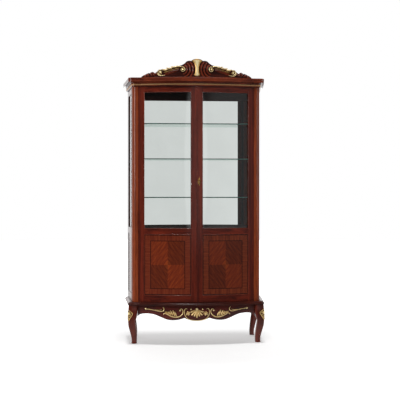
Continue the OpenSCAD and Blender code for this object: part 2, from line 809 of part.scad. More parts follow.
// Gilt carving of the crest, right half: flared column, two volutes and the leaf between them
crest_column = [[0, 143], [22, 141], [39, 131], [33, 118], [20, 104], [14, 84], [12.5, 64], [14, 42],
    [20, 26], [21, 16], [15, 9], [0, 7]];
inner_volute = [114, 59];
outer_volute = [289, 38];
volute_r = 23;
crest_leaf = [[124, 86], [158, 84], [196, 71], [236, 60], [272, 56]];
crest_tail = [[306, 20], [282, 13], [254, 13]];

module volute(place) {
    translate(place) {
        difference() {
            circle(r = volute_r, $fn = 48);
            circle(r = volute_r - 8, $fn = 48);
        }
        circle(r = 9, $fn = 32);
    }
}

module crest_carving_half() {
    polygon(concat([[-cut, crest_column[0][1]]], spline(crest_column, 3), [[-cut, crest_column[11][1]]]));
    volute(inner_volute);
    volute(outer_volute);
    polygon(ribbon(spline(crest_leaf, 3), 15, 11));
    polygon(ribbon(spline(crest_tail, 3), 7, 5));
}

module crest_carving() {
    face = bow_r + crest_out + crest_t / 2;
    color(gilt) centred() bowed_relief(face, face + crest_relief, break_x, cornice_top_z, cornice_top_z + crest_h)
        translate([0, cornice_top_z]) mirrored_pair() crest_carving_half();
}

// ---------- doors, drawn as the right-hand door ----------

module outer_stile() {
    difference() {
        translate([0, 0, door_bottom_z]) linear_extrude(door_h) {
            bow_band(bow_r - door_t, bow_r, sight_out, pivot_x);
            intersection() {
                bow_band(bow_r - door_t, bow_r, pivot_x, pivot_x + pivot_edge_r);
                translate([pivot_x, pivot_y]) circle(r = pivot_edge_r, $fn = 96);
            }
        }
        door_rebates();
        for (z = [door_bottom_z - cut, door_top_z - pivot_shank])
            translate([pivot_x, pivot_y, z]) cylinder(r = pivot_r, h = pivot_shank + cut);
    }
}

module meeting_stile() {
    difference() {
        bow_piece(bow_r - door_t, bow_r, door_inner_x, sight_in, door_bottom_z, door_top_z);
        door_rebates();
    }
}

module door_rail(z0, z1) {
    difference() {
        bow_piece(bow_r - door_t, bow_r, sight_in, sight_out, z0, z1);
        door_rebates();
    }
}

module door_rails() {
    door_rail(door_bottom_z, panel_bottom_z);
    door_rail(panel_top_z, glass_bottom_z);
    door_rail(glass_top_z, door_top_z);
}

module door_rebate(z0, z1) {
    bow_piece(bow_r - door_t - cut, bow_r - lip_t, sight_in - rebate_w, sight_out + rebate_w,
        z0 - rebate_w, z1 + rebate_w);
}

module door_rebates() {
    door_rebate(glass_bottom_z, glass_top_z);
    door_rebate(panel_bottom_z, panel_top_z);
}

module door_pane(z0, z1) {
    reach = rebate_w - pane_gap;
    bow_piece(bow_r - lip_t - pane_t, bow_r - lip_t, sight_in - reach, sight_out + reach, z0 - reach, z1 + reach);
}

module door_panel() {
    door_pane(panel_bottom_z, panel_top_z);
    bow_piece(bow_r - lip_t, bow_r - field_drop, sight_in + pane_gap, sight_out - pane_gap,
        panel_bottom_z + pane_gap, panel_top_z - pane_gap);
}

// Beads behind a pane: two uprights and two lengths between them
module door_bead_frame(z0, z1) {
    r0 = bow_r - door_t;
    r1 = bow_r - lip_t - pane_t;
    lo = sight_in - rebate_w;
    hi = sight_out + rebate_w;
    bow_piece(r0, r1, lo, sight_in, z0 - rebate_w, z1 + rebate_w);
    bow_piece(r0, r1, sight_out, hi, z0 - rebate_w, z1 + rebate_w);
    bow_piece(r0, r1, sight_in + bead_gap, sight_out - bead_gap, z0 - rebate_w, z0);
    bow_piece(r0, r1, sight_in + bead_gap, sight_out - bead_gap, z1, z1 + rebate_w);
}

module door_beads() {
    door_bead_frame(glass_bottom_z, glass_top_z);
    door_bead_frame(panel_bottom_z, panel_top_z);
}

module door_pivots() {
    pin_l = pivot_shank + pivot_reach;
    for (z = [door_bottom_z - pivot_reach, door_top_z - pivot_shank])
        translate([pivot_x, pivot_y, z]) cylinder(r = pivot_r, h = pin_l);
}

module pivot_sockets() {
    color(brass) centred() mirrored_pair() for (z = [base_top_z - socket_h, carcass_top_z])
        translate([pivot_x, pivot_y, z]) difference() {
            cylinder(r = socket_r, h = socket_h);
            translate([0, 0, -cut]) cylinder(r = pivot_r + running, h = socket_h + 2 * cut);
        }
}

module left_door_outer_stile() {
    color(mahogany) centred() on_side(-1) outer_stile();
}

module left_door_meeting_stile() {
    color(mahogany) centred() difference() {
        on_side(-1) meeting_stile();
        strike_body();
        strike_opening(2 * strike_clear, lock_throw + strike_t);
    }
}

module left_door_rails() {
    color(mahogany) centred() on_side(-1) door_rails();
}

module left_door_glass() {
    color(pane_colour, 0.35) centred() on_side(-1) door_pane(glass_bottom_z, glass_top_z);
}

module left_door_panel() {
    color(veneer) centred() on_side(-1) door_panel();
}

module left_door_beads() {
    color(mahogany) centred() on_side(-1) door_beads();
}

module left_door_pivots() {
    color(brass) centred() on_side(-1) door_pivots();
}

module right_door_outer_stile() {
    color(mahogany) centred() outer_stile();
}

module right_door_meeting_stile() {
    color(mahogany) centred() difference() {
        meeting_stile();
        translate([door_inner_x - cut, lock_y - lock_t / 2, lock_z - lock_down])
            cube([lock_l + cut, lock_t, lock_up + lock_down]);
        translate([lock_x, lock_y, lock_z]) rotate([90, 0, 0]) cylinder(r = key_hole_r, h = door_t);
    }
}

module right_door_rails() {
    color(mahogany) centred() door_rails();
}

module right_door_glass() {
    color(pane_colour, 0.35) centred() door_pane(glass_bottom_z, glass_top_z);
}

module right_door_panel() {
    color(veneer) centred() door_panel();
}

module right_door_beads() {
    color(mahogany) centred() door_beads();
}

module right_door_pivots() {
    color(brass) centred() door_pivots();
}

// ---------- lock of the right door ----------

lock_y = bow_at(bow_r - door_t / 2, lock_x);
lock_l = 33;
lock_up = 26;
lock_down = 20;
key_hole_r = 3;

// Bolt, from the door's edge and the follower's middle
bolt_t = 6;
bolt_lo = 7;
bolt_hi = 20;
bolt_l = 29.5;
slot_lo = 14;
slot_hi = 28;
slot_h = 6;

// Follower
follower_r = 6;
journal_r = 4;
journal_gap = 0.3;
arm_l = 11;
arm_w = 2.5;
key_pin_r = 1.5;
key_slot_w = 1.5;
key_slot_l = 3.2;

// The case is open at the door's edge, where the bolt comes out
module lock_case() {
    inner_t = lock_t - 2 * lock_wall;
    case_h = lock_up + lock_down;
    color(brass) centred() difference() {
        translate([door_inner_x, lock_y - lock_t / 2, lock_z - lock_down]) cube([lock_l, lock_t, case_h]);
        translate([door_inner_x + lock_wall, lock_y - inner_t / 2, lock_z - lock_down + lock_wall])
            cube([lock_l - 2 * lock_wall, inner_t, case_h - 2 * lock_wall]);
        translate([door_inner_x - cut, lock_y - bolt_t / 2 - running, lock_z + bolt_lo - running])
            cube([lock_wall + 2 * cut, bolt_t + 2 * running, bolt_hi - bolt_lo + 2 * running]);
        translate([lock_x, lock_y, lock_z]) rotate([90, 0, 0])
            cylinder(r = journal_r + running, h = 2 * lock_t, center = true);
    }
}

// Ornamental plate round the keyhole, on the face of the stile; rounds hold [x, z, radius]
escutcheon_half_w = 14;
escutcheon_half_h = 32;
escutcheon_rounds = [[0, 0, 9], [8, 0, 5], [-8, 0, 5], [0, 14, 8], [0, -14, 8], [0, 25, 5.5], [0, -25, 5.5]];

module escutcheon() {
    color(brass) centred() intersection() {
        bow_piece(bow_r, bow_r + escutcheon_t, lock_x - escutcheon_half_w, lock_x + escutcheon_half_w,
            lock_z - escutcheon_half_h, lock_z + escutcheon_half_h);
        translate([lock_x, 0, lock_z]) rotate([90, 0, 0]) linear_extrude(back_y) difference() {
            for (e = escutcheon_rounds) translate([e[0], e[1]]) circle(r = e[2], $fn = 48);
            circle(r = key_hole_r, $fn = 32);
        }
    }
}

// The follower turns on two journals in the case; its arm works in the slot of the bolt
module lock_follower() {
    color(steel) centred() translate([lock_x, lock_y, lock_z]) difference() {
        union() {
            rotate([90, 0, 0]) cylinder(r = follower_r, h = bolt_t, center = true);
            rotate([90, 0, 0]) cylinder(r = journal_r, h = lock_t - 2 * journal_gap, center = true);
            rotate([0, 45, 0]) translate([-arm_w / 2, -arm_w / 2, 0]) cube([arm_w, arm_w, arm_l]);
        }
        rotate([90, 0, 0]) cylinder(r = key_pin_r, h = 2 * lock_t, center = true);
        translate([-key_slot_w / 2, -lock_t, -key_slot_l]) cube([key_slot_w, 2 * lock_t, key_slot_l]);
    }
}

module lock_bolt() {
    color(steel) centred() translate([door_inner_x + running, lock_y - bolt_t / 2, lock_z]) difference() {
        translate([0, 0, bolt_lo]) cube([bolt_l, bolt_t, bolt_hi - bolt_lo]);
        translate([slot_lo, -cut, bolt_lo - cut]) cube([slot_hi - slot_lo, bolt_t + 2 * cut, slot_h + cut]);
    }
}

// Strike plate in the edge of the left door
strike_t = 2;
strike_w = 14;
strike_edge = 10;
strike_clear = 0.5;

module strike_body() {
    translate([-door_inner_x - strike_t, lock_y - strike_w / 2, lock_z + bolt_lo - strike_edge])
        cube([strike_t, strike_w, bolt_hi - bolt_lo + 2 * strike_edge]);
}

module strike_opening(clear, depth) {
    translate([-door_inner_x - depth, lock_y - bolt_t / 2 - clear, lock_z + bolt_lo - clear])
        cube([depth + cut, bolt_t + 2 * clear, bolt_hi - bolt_lo + 2 * clear]);
}

module lock_strike() {
    color(brass) centred() difference() {
        strike_body();
        strike_opening(strike_clear, strike_t + cut);
    }
}

// ---------- barrel bolts on the back of the left door ----------

guide_plate = 2;
guide_w = 18;
guide_l = 64;
guide_seat = 12;
guide_wall = 2.5;
guide_end = 6;
barrel_rise = barrel_r + 1.5;
guide_y = bow_at(bow_r - door_t, barrel_x + guide_w / 2) + skin;
barrel_y = guide_y + guide_plate + barrel_rise;
barrel_end_gap = 0.5;
knob_gap = 8;
knob_stem_r = 2.5;
knob_stem_l = 14;
knob_r = 5;
top_guide_z = door_top_z - guide_end - guide_l;
bottom_guide_z = door_bottom_z + guide_end;

module guide(z) {
    half_w = barrel_r + guide_wall;
    difference() {
        union() {
            translate([-barrel_x - guide_w / 2, guide_y, z]) cube([guide_w, guide_plate, guide_l]);
            for (rise = [0, guide_l - guide_seat])
                translate([-barrel_x - half_w, guide_y + guide_plate, z + rise])
                    cube([2 * half_w, barrel_rise + half_w, guide_seat]);
        }
        translate([-barrel_x, barrel_y, z - cut]) cylinder(r = barrel_r + running, h = guide_l + 2 * cut);
    }
}

module bolt_guides() {
    color(brass) centred() {
        guide(top_guide_z);
        guide(bottom_guide_z);
    }
}

// The knob stands between the two seats of the guide
module barrel_bolt(tip_z, dir, knob_z) {
    translate([-barrel_x, barrel_y, 0]) {
        translate([0, 0, dir > 0 ? tip_z - barrel_l : tip_z]) cylinder(r = barrel_r, h = barrel_l);
        translate([0, 0, knob_z]) rotate([-90, 0, 0]) cylinder(r = knob_stem_r, h = knob_stem_l);
        translate([0, knob_stem_l, knob_z]) sphere(r = knob_r);
    }
}

module top_bolt() {
    color(brass) centred() barrel_bolt(door_top_z - barrel_end_gap, 1, top_guide_z + guide_seat + knob_gap);
}

module bottom_bolt() {
    color(brass) centred() barrel_bolt(door_bottom_z + barrel_end_gap, -1,
        bottom_guide_z + guide_l - guide_seat - knob_gap);
}

foot_glides();
front_leg_left();
front_leg_right();
rear_legs();
knee_carvings();
front_apron();
apron_carving();
side_aprons();
rear_rail();
corner_blocks();
base_board();
base_moulding_front();
base_moulding_sides();
corner_post_left();
corner_post_right();
rear_posts();
side_rails_left();
side_rails_right();
side_glass();
side_panels();
side_beads();
display_floor();
mirror_glass();
back_boards();
back_rails();
glass_shelf_upper();
glass_shelf_middle();
glass_shelf_lower();
wooden_shelf();
shelf_pins();
top_board();
cornice_front();
cornice_sides();
cornice_gilt_bead();
cornice_panel();
crest_board();
crest_carving();
pivot_sockets();
left_door_outer_stile();
left_door_meeting_stile();
left_door_rails();
left_door_glass();
left_door_panel();
left_door_beads();
left_door_pivots();
lock_strike();
bolt_guides();
top_bolt();
bottom_bolt();
right_door_outer_stile();
right_door_meeting_stile();
right_door_rails();
right_door_glass();
right_door_panel();
right_door_beads();
right_door_pivots();
escutcheon();
lock_case();
lock_follower();
lock_bolt();
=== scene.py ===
"""Dressed model of a two-door display cabinet: lacquered mahogany, gilt carving, glass and mirror.

Shapes are laid out like the cabinet's source, in millimetres from the plane through the outer edges
of the two doors, and go to metres round the middle of the cabinet when a piece is built.
"""

from __future__ import annotations

import logging
import math
from collections.abc import Callable, Sequence
from dataclasses import dataclass, field
from enum import Enum
from typing import Any

import bmesh
import bpy
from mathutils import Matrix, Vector

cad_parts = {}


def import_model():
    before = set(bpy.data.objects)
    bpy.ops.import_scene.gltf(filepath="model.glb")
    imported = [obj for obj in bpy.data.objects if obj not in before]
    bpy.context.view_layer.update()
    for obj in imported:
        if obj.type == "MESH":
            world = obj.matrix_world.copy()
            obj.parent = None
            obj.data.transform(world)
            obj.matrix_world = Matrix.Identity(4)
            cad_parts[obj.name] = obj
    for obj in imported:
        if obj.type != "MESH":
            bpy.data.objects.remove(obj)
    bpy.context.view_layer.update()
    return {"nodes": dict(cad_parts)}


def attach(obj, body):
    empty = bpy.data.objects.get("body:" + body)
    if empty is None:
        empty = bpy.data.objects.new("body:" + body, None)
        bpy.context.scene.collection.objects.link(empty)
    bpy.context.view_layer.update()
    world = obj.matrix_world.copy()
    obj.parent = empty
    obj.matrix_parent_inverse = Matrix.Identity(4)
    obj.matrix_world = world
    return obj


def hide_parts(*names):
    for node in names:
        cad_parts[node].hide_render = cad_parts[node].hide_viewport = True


LOG = logging.getLogger("display_cabinet")

MM = 0.001
MIDDLE_Y = 128.25  # from the door plane to the middle of the cabinet
WELD_MM = 0.02  # points closer than this are one
ARRIS_DEG = 32.0  # edges sharper than this get a small rounding

Place = Callable[[float, float, float], Vector]
Knot = tuple[float, float, float, float]


# ---------- nodes ----------


def linear(colour: str) -> tuple[float, float, float, float]:
    """Turns an sRGB hex colour into a linear one.

    Args:
        colour: six hex digits after a hash sign.

    Returns:
        Red, green, blue and an alpha of 1.
    """
    parts = [int(colour[i : i + 2], 16) / 255 for i in (1, 3, 5)]
    shares = [p / 12.92 if p <= 0.04045 else ((p + 0.055) / 1.055) ** 2.4 for p in parts]
    return (shares[0], shares[1], shares[2], 1.0)


def add_node(
    tree: bpy.types.NodeTree,
    kind: str,
    settings: dict[Any, Any] | None = None,
    links: dict[Any, bpy.types.NodeSocket] | None = None,
) -> bpy.types.Node:
    """Adds one node with its settings and links.

    Args:
        tree: the node tree that gets the node.
        kind: Blender's name of the node type.
        settings: values by socket name, socket number or node property; "stops" fills a ramp.
        links: output sockets by the input that they feed.

    Returns:
        The new node.
    """
    node = tree.nodes.new(kind)
    for name, value in (settings or {}).items():
        if name == "stops":
            ramp = node.color_ramp.elements
            while len(ramp) < len(value):
                ramp.new(0.5)
            for stop, (place, colour) in zip(ramp, value):
                stop.position = place
                stop.color = colour
        elif isinstance(name, int) or name in node.inputs:
            node.inputs[name].default_value = value
        else:
            setattr(node, name, value)
    for name, source in (links or {}).items():
        tree.links.new(source, node.inputs[name])
    return node


def start_material(name: str) -> tuple[bpy.types.Material, bpy.types.NodeTree]:
    """Makes an empty node material.

    Args:
        name: the material's name.

    Returns:
        The material and its node tree.
    """
    material = bpy.data.materials.new(name)
    material.use_nodes = True
    material.node_tree.nodes.clear()
    return material, material.node_tree


class Grain(Enum):
    """Direction of the grain: how far a pattern is drawn out along X, Y and Z."""

    UPRIGHT = (1.0, 1.0, 0.04)
    ACROSS = (0.04, 1.0, 1.0)
    DEEP = (1.0, 0.04, 1.0)


@dataclass(frozen=True)
class Mahogany:
    """Mahogany, stained dark red and finished with rubbed lacquer.

    Fine pores run with the grain under a clear film, so the wood looks deep, and lights show on it
    as soft bright lines.
    """

    name: str
    dark: str
    light: str
    grain: Grain = Grain.UPRIGHT
    figure_mm: float = 26.0  # width of the bands in the wood
    pore_mm: float = 2.2  # real pores are 0.2 mm; drawn coarser, so that they show
    pore_depth: float = 0.35
    coat: float = 1.0
    sheen_roughness: float = 0.15  # roughness of the film

    def material(self) -> bpy.types.Material:
        """Builds the node material.

        Returns:
            The material.
        """
        material, tree = start_material(self.name)
        where = add_node(tree, "ShaderNodeTexCoord")
        stretched = add_node(
            tree,
            "ShaderNodeMapping",
            {"Scale": self.grain.value},
            {"Vector": where.outputs["Object"]},
        )
        figure = add_node(
            tree,
            "ShaderNodeTexNoise",
            {
                "Scale": 1 / (self.figure_mm * MM), "Detail": 3.0, "Roughness": 0.55,
                "Distortion": 0.6,
            },
            {"Vector": stretched.outputs[0]},
        )
        tone = add_node(
            tree,
            "ShaderNodeValToRGB",
            {"stops": [(0.32, linear(self.dark)), (0.7, linear(self.light))]},
            {"Fac": figure.outputs[0]},
        )
        pores = add_node(
            tree,
            "ShaderNodeTexNoise",
            {"Scale": 1 / (self.pore_mm * MM), "Detail": 2.0, "Roughness": 0.6},
            {"Vector": stretched.outputs[0]},
        )
        streaks = add_node(
            tree,
            "ShaderNodeValToRGB",
            {"stops": [(0.38, (1 - self.pore_depth,) * 3 + (1.0,)), (0.62, (1.0,) * 4)]},
            {"Fac": pores.outputs[0]},
        )
        colour = add_node(
            tree,
            "ShaderNodeMix",
            {"data_type": "RGBA", "blend_type": "MULTIPLY", 0: 1.0},
            {6: tone.outputs[0], 7: streaks.outputs[0]},
        )
        relief = add_node(
            tree,
            "ShaderNodeBump",
            {"Strength": 0.05, "Distance": 0.0003},
            {"Height": pores.outputs[0]},
        )
        surface = add_node(
            tree,
            "ShaderNodeBsdfPrincipled",
            {
                "Roughness": 0.6,
                "Specular IOR Level": 0.05,
                "IOR": 1.5,
                "Coat Weight": self.coat,
                "Coat Roughness": self.sheen_roughness,
            },
            {"Base Color": colour.outputs[2], "Normal": relief.outputs[0]},
        )
        add_node(tree, "ShaderNodeOutputMaterial", None, {"Surface": surface.outputs[0]})
        return material


@dataclass(frozen=True)
class QuarterVeneer:
    """Quarter-matched mahogany veneer with dark stringing, a crossbanded border and a painted
    shadow.

    Four leaves of one flitch meet in a diamond, and two of them catch the light more than the
    others. The border's grain runs outwards from the field. Along the border's outer edge, where
    the panel meets its moulding, a band in the stringing's dark colour is painted shadow.
    """

    name: str
    centre_x: float
    centre_z: float
    half_w: float
    half_h: float
    light: str = "#8c3a17"
    mid: str = "#752c13"
    dark: str = "#5c1f10"
    string_and_gap_shade: str = "#240a06"
    border: str = "#74301a"
    stripe_mm: float = 13.0  # width of the ribbon stripes in the leaves
    string_mm: float = 5.0  # 2 mm in the real thing; drawn wider, so that it shows
    band_mm: float = 43.5
    heart_mm: float = 30.0  # size of the light diamond in the middle
    heart_glow: float = 0.28  # how much lighter its middle is
    ribbon_stretch: float = 0.16  # how far the stripes are drawn out along the leaves
    shade: tuple[float, ...] = (0.64, 0.68, 0.78, 1.0)  # of the two leaves that catch less light
    band_grain_mm: float = 12.0  # width of the bands in the border's wood
    band_stretch: float = 0.08  # how far the border's grain is drawn out

    def material(self) -> bpy.types.Material:
        """Builds the node material.

        Returns:
            The material.
        """
        material, tree = start_material(self.name)

        def maths(how: str, *values: Any) -> bpy.types.NodeSocket:
            """Adds one sum.

            Args:
                how: Blender's name of the sum.
                *values: its numbers or sockets.

            Returns:
                The result.
            """
            numbers = {i: v for i, v in enumerate(values) if isinstance(v, (int, float))}
            sockets = {i: v for i, v in enumerate(values) if i not in numbers}
            return add_node(
                tree, "ShaderNodeMath", {"operation": how, **numbers}, sockets
            ).outputs[0]

        where = add_node(tree, "ShaderNodeTexCoord")
        split = add_node(tree, "ShaderNodeSeparateXYZ", None, {0: where.outputs["Object"]})
        x = maths("SUBTRACT", split.outputs[0], self.centre_x * MM)
        z = maths("SUBTRACT", split.outputs[2], self.centre_z * MM)
        across, up = maths("ABSOLUTE", x), maths("ABSOLUTE", z)
        slope = math.atan2(self.half_w, self.half_h)
        through = maths(
            "ADD",
            maths("MULTIPLY", across, math.cos(slope)),
            maths("MULTIPLY", up, math.sin(slope)),
        )
        along = maths(
            "SUBTRACT",
            maths("MULTIPLY", across, math.sin(slope)),
            maths("MULTIPLY", up, math.cos(slope)),
        )
        leaf = add_node(
            tree, "ShaderNodeCombineXYZ", None,
            {0: through, 1: maths("MULTIPLY", along, self.ribbon_stretch)},
        )
        ribbon = add_node(
            tree,
            "ShaderNodeTexNoise",
            {"Scale": 1 / (self.stripe_mm * MM), "Detail": 3.0, "Roughness": 0.65},
            {"Vector": leaf.outputs[0]},
        )
        nearness = maths("SUBTRACT", 1.0, maths("DIVIDE", through, self.heart_mm * MM))
        heart = maths("MULTIPLY", nearness, self.heart_glow)
        tones = [(0.3, linear(self.dark)), (0.52, linear(self.mid)), (0.74, linear(self.light))]
        stripes = add_node(
            tree,
            "ShaderNodeValToRGB",
            {"stops": tones},
            {"Fac": maths("ADD", ribbon.outputs[0], maths("MAXIMUM", heart, 0.0))},
        )
        falling = maths("GREATER_THAN", maths("MULTIPLY", x, z), 0.0)
        field_colour = add_node(
            tree,
            "ShaderNodeMix",
            {"data_type": "RGBA", "blend_type": "MULTIPLY", 7: self.shade},
            {0: falling, 6: stripes.outputs[0]},
        )
        beyond_x = maths("SUBTRACT", across, self.half_w * MM)
        beyond_z = maths("SUBTRACT", up, self.half_h * MM)
        beyond = maths("MAXIMUM", beyond_x, beyond_z)
        on_side = maths("GREATER_THAN", beyond_x, beyond_z)
        upright = add_node(
            tree, "ShaderNodeCombineXYZ", None, {0: maths("MULTIPLY", x, self.band_stretch), 2: z}
        )
        level = add_node(
            tree, "ShaderNodeCombineXYZ", None, {0: x, 2: maths("MULTIPLY", z, self.band_stretch)}
        )
        band_vector = add_node(
            tree,
            "ShaderNodeMix",
            {"data_type": "VECTOR"},
            {0: on_side, 4: level.outputs[0], 5: upright.outputs[0]},
        )
        band_noise = add_node(
            tree,
            "ShaderNodeTexNoise",
            {"Scale": 1 / (self.band_grain_mm * MM), "Detail": 4.0},
            {"Vector": band_vector.outputs[1]},
        )
        band = add_node(
            tree,
            "ShaderNodeValToRGB",
            {"stops": [(0.34, linear(self.dark)), (0.62, linear(self.border))]},
            {"Fac": band_noise.outputs[0]},
        )
        bordered = add_node(
            tree,
            "ShaderNodeMix",
            {"data_type": "RGBA"},
            {0: maths("GREATER_THAN", beyond, 0.0), 6: field_colour.outputs[2], 7: band.outputs[0]},
        )
        # painted shadow: past band_mm, along the moulding, the border is drawn in the stringing's
        # dark colour for the shadow gap there
        inner = maths("LESS_THAN", maths("ABSOLUTE", beyond), self.string_mm / 2 * MM)
        line = maths("MAXIMUM", inner, maths("GREATER_THAN", beyond, self.band_mm * MM))
        colour = add_node(
            tree,
            "ShaderNodeMix",
            {"data_type": "RGBA", 7: linear(self.string_and_gap_shade)},
            {0: line, 6: bordered.outputs[2]},
        )
        surface = add_node(
            tree,
            "ShaderNodeBsdfPrincipled",
            {
                "Roughness": 0.6,
                "Specular IOR Level": 0.05,
                "IOR": 1.5,
                "Coat Weight": 0.5,
                "Coat Roughness": 0.15,
            },
            {"Base Color": colour.outputs[2]},
        )
        add_node(tree, "ShaderNodeOutputMaterial", None, {"Surface": surface.outputs[0]})
        return material


@dataclass(frozen=True)
class GoldLeaf:
    """Gold leaf on carved wood, toned with a brown wash.

    Each point's tone runs from hollow to crest: the hollows take the brown wash together with
    painted shade, and the crests a pale painted highlight.
    """

    name: str = "gold leaf on carved wood"
    # painted highlight: the pale colour drawn on the crests
    painted_highlight: str = "#ffeeb8"
    leaf: str = "#cc9e50"
    # the brown wash in the hollows, darkened further as painted shade
    hollow: str = "#3c1e0c"
    grit_mm: float = 7.0

    def material(self) -> bpy.types.Material:
        """Builds the node material.

        Returns:
            The material.
        """
        material, tree = start_material(self.name)
        where = add_node(tree, "ShaderNodeTexCoord")
        tone = add_node(tree, "ShaderNodeAttribute", {"attribute_name": "tone"})
        wear = add_node(
            tree,
            "ShaderNodeTexNoise",
            {"Scale": 1 / (self.grit_mm * MM), "Detail": 3.0},
            {"Vector": where.outputs["Object"]},
        )
        shift = add_node(
            tree,
            "ShaderNodeMath",
            {"operation": "MULTIPLY_ADD", 1: 0.3, 2: -0.15},
            {0: wear.outputs[0]},
        )
        depth = add_node(
            tree,
            "ShaderNodeMath",
            {"operation": "ADD"},
            {0: tone.outputs["Fac"], 1: shift.outputs[0]},
        )
        # painted light: the ramp runs from wash and shade in the hollows to a painted highlight on
        # the crests
        tones = [(0.14, linear(self.hollow)), (0.5, linear(self.leaf)), (0.9, linear(self.painted_highlight))]
        colour = add_node(
            tree,
            "ShaderNodeValToRGB",
            {"stops": tones},
            {"Fac": depth.outputs[0]},
        )
        surface = add_node(
            tree,
            "ShaderNodeBsdfPrincipled",
            {"Metallic": 0.4, "Roughness": 0.36},
            {"Base Color": colour.outputs[0]},
        )
        add_node(tree, "ShaderNodeOutputMaterial", None, {"Surface": surface.outputs[0]})
        return material


@dataclass(frozen=True)
class Metal:
    """Brass or steel, drawn or filed and then polished, with slight wear."""

    name: str
    light: str
    dark: str
    roughness: float = 0.28

    def material(self) -> bpy.types.Material:
        """Builds the node material.

        Returns:
            The material.
        """
        material, tree = start_material(self.name)
        where = add_node(tree, "ShaderNodeTexCoord")
        wear = add_node(
            tree,
            "ShaderNodeTexNoise",
            {"Scale": 90.0, "Detail": 4.0},
            {"Vector": where.outputs["Object"]},
        )
        colour = add_node(
            tree,
            "ShaderNodeValToRGB",
            {"stops": [(0.3, linear(self.dark)), (0.7, linear(self.light))]},
            {"Fac": wear.outputs[0]},
        )
        surface = add_node(
            tree,
            "ShaderNodeBsdfPrincipled",
            {"Metallic": 1.0, "Roughness": self.roughness},
            {"Base Color": colour.outputs[0]},
        )
        add_node(tree, "ShaderNodeOutputMaterial", None, {"Surface": surface.outputs[0]})
        return material


@dataclass(frozen=True)
class FloatGlass:
    """Float glass: clear, with a slight green tint, and mirror-like at a glancing angle."""

    name: str
    tint: str = "#fcfefd"
    ior: float = 1.5
    shine: float = 1.0  # below 1 for panes that stand in the shade of the case

    def material(self) -> bpy.types.Material:
        """Builds the node material.

        Returns:
            The material.
        """
        material, tree = start_material(self.name)
        fresnel = add_node(tree, "ShaderNodeFresnel", {"IOR": self.ior})
        clear = add_node(tree, "ShaderNodeBsdfTransparent", {"Color": linear(self.tint)})
        gloss = add_node(tree, "ShaderNodeBsdfGlossy", {"Roughness": 0.0})
        share = add_node(
            tree,
            "ShaderNodeMath",
            {"operation": "MULTIPLY", 1: self.shine},
            {0: fresnel.outputs[0]},
        )
        surface = add_node(
            tree,
            "ShaderNodeMixShader",
            None,
            {0: share.outputs[0], 1: clear.outputs[0], 2: gloss.outputs[0]},
        )
        add_node(tree, "ShaderNodeOutputMaterial", None, {"Surface": surface.outputs[0]})
        return material


@dataclass(frozen=True)
class GlassEdge:
    """The ground and polished edge of float glass.

    It looks deep green, because it is seen through the width of the glass.
    """

    name: str = "polished glass edge"
    light: str = "#7fd8c4"
    dark: str = "#4fa893"

    def material(self) -> bpy.types.Material:
        """Builds the node material.

        Returns:
            The material.
        """
        material, tree = start_material(self.name)
        where = add_node(tree, "ShaderNodeTexCoord")
        depth = add_node(
            tree,
            "ShaderNodeTexNoise",
            {"Scale": 14.0, "Detail": 2.0},
            {"Vector": where.outputs["Object"]},
        )
        colour = add_node(
            tree,
            "ShaderNodeValToRGB",
            {"stops": [(0.35, linear(self.dark)), (0.65, linear(self.light))]},
            {"Fac": depth.outputs[0]},
        )
        surface = add_node(
            tree,
            "ShaderNodeBsdfPrincipled",
            {"Roughness": 0.12, "IOR": 1.5},
            {"Base Color": colour.outputs[0]},
        )
        add_node(tree, "ShaderNodeOutputMaterial", None, {"Surface": surface.outputs[0]})
        return material


@dataclass(frozen=True)
class SilveredGlass:
    """A silvered mirror: the bright metal film behind clear glass."""

    name: str = "silvered mirror glass"
    film: str = "#e9ebea"
    haze: str = "#e4e6e5"

    def material(self) -> bpy.types.Material:
        """Builds the node material.

        Returns:
            The material.
        """
        material, tree = start_material(self.name)
        where = add_node(tree, "ShaderNodeTexCoord")
        cloud = add_node(
            tree,
            "ShaderNodeTexNoise",
            {"Scale": 6.0, "Detail": 2.0},
            {"Vector": where.outputs["Object"]},
        )
        colour = add_node(
            tree,
            "ShaderNodeValToRGB",
            {"stops": [(0.2, linear(self.haze)), (0.8, linear(self.film))]},
            {"Fac": cloud.outputs[0]},
        )
        surface = add_node(
            tree,
            "ShaderNodeBsdfPrincipled",
            {"Metallic": 1.0, "Roughness": 0.01},
            {"Base Color": colour.outputs[0]},
        )
        add_node(tree, "ShaderNodeOutputMaterial", None, {"Surface": surface.outputs[0]})
        return material


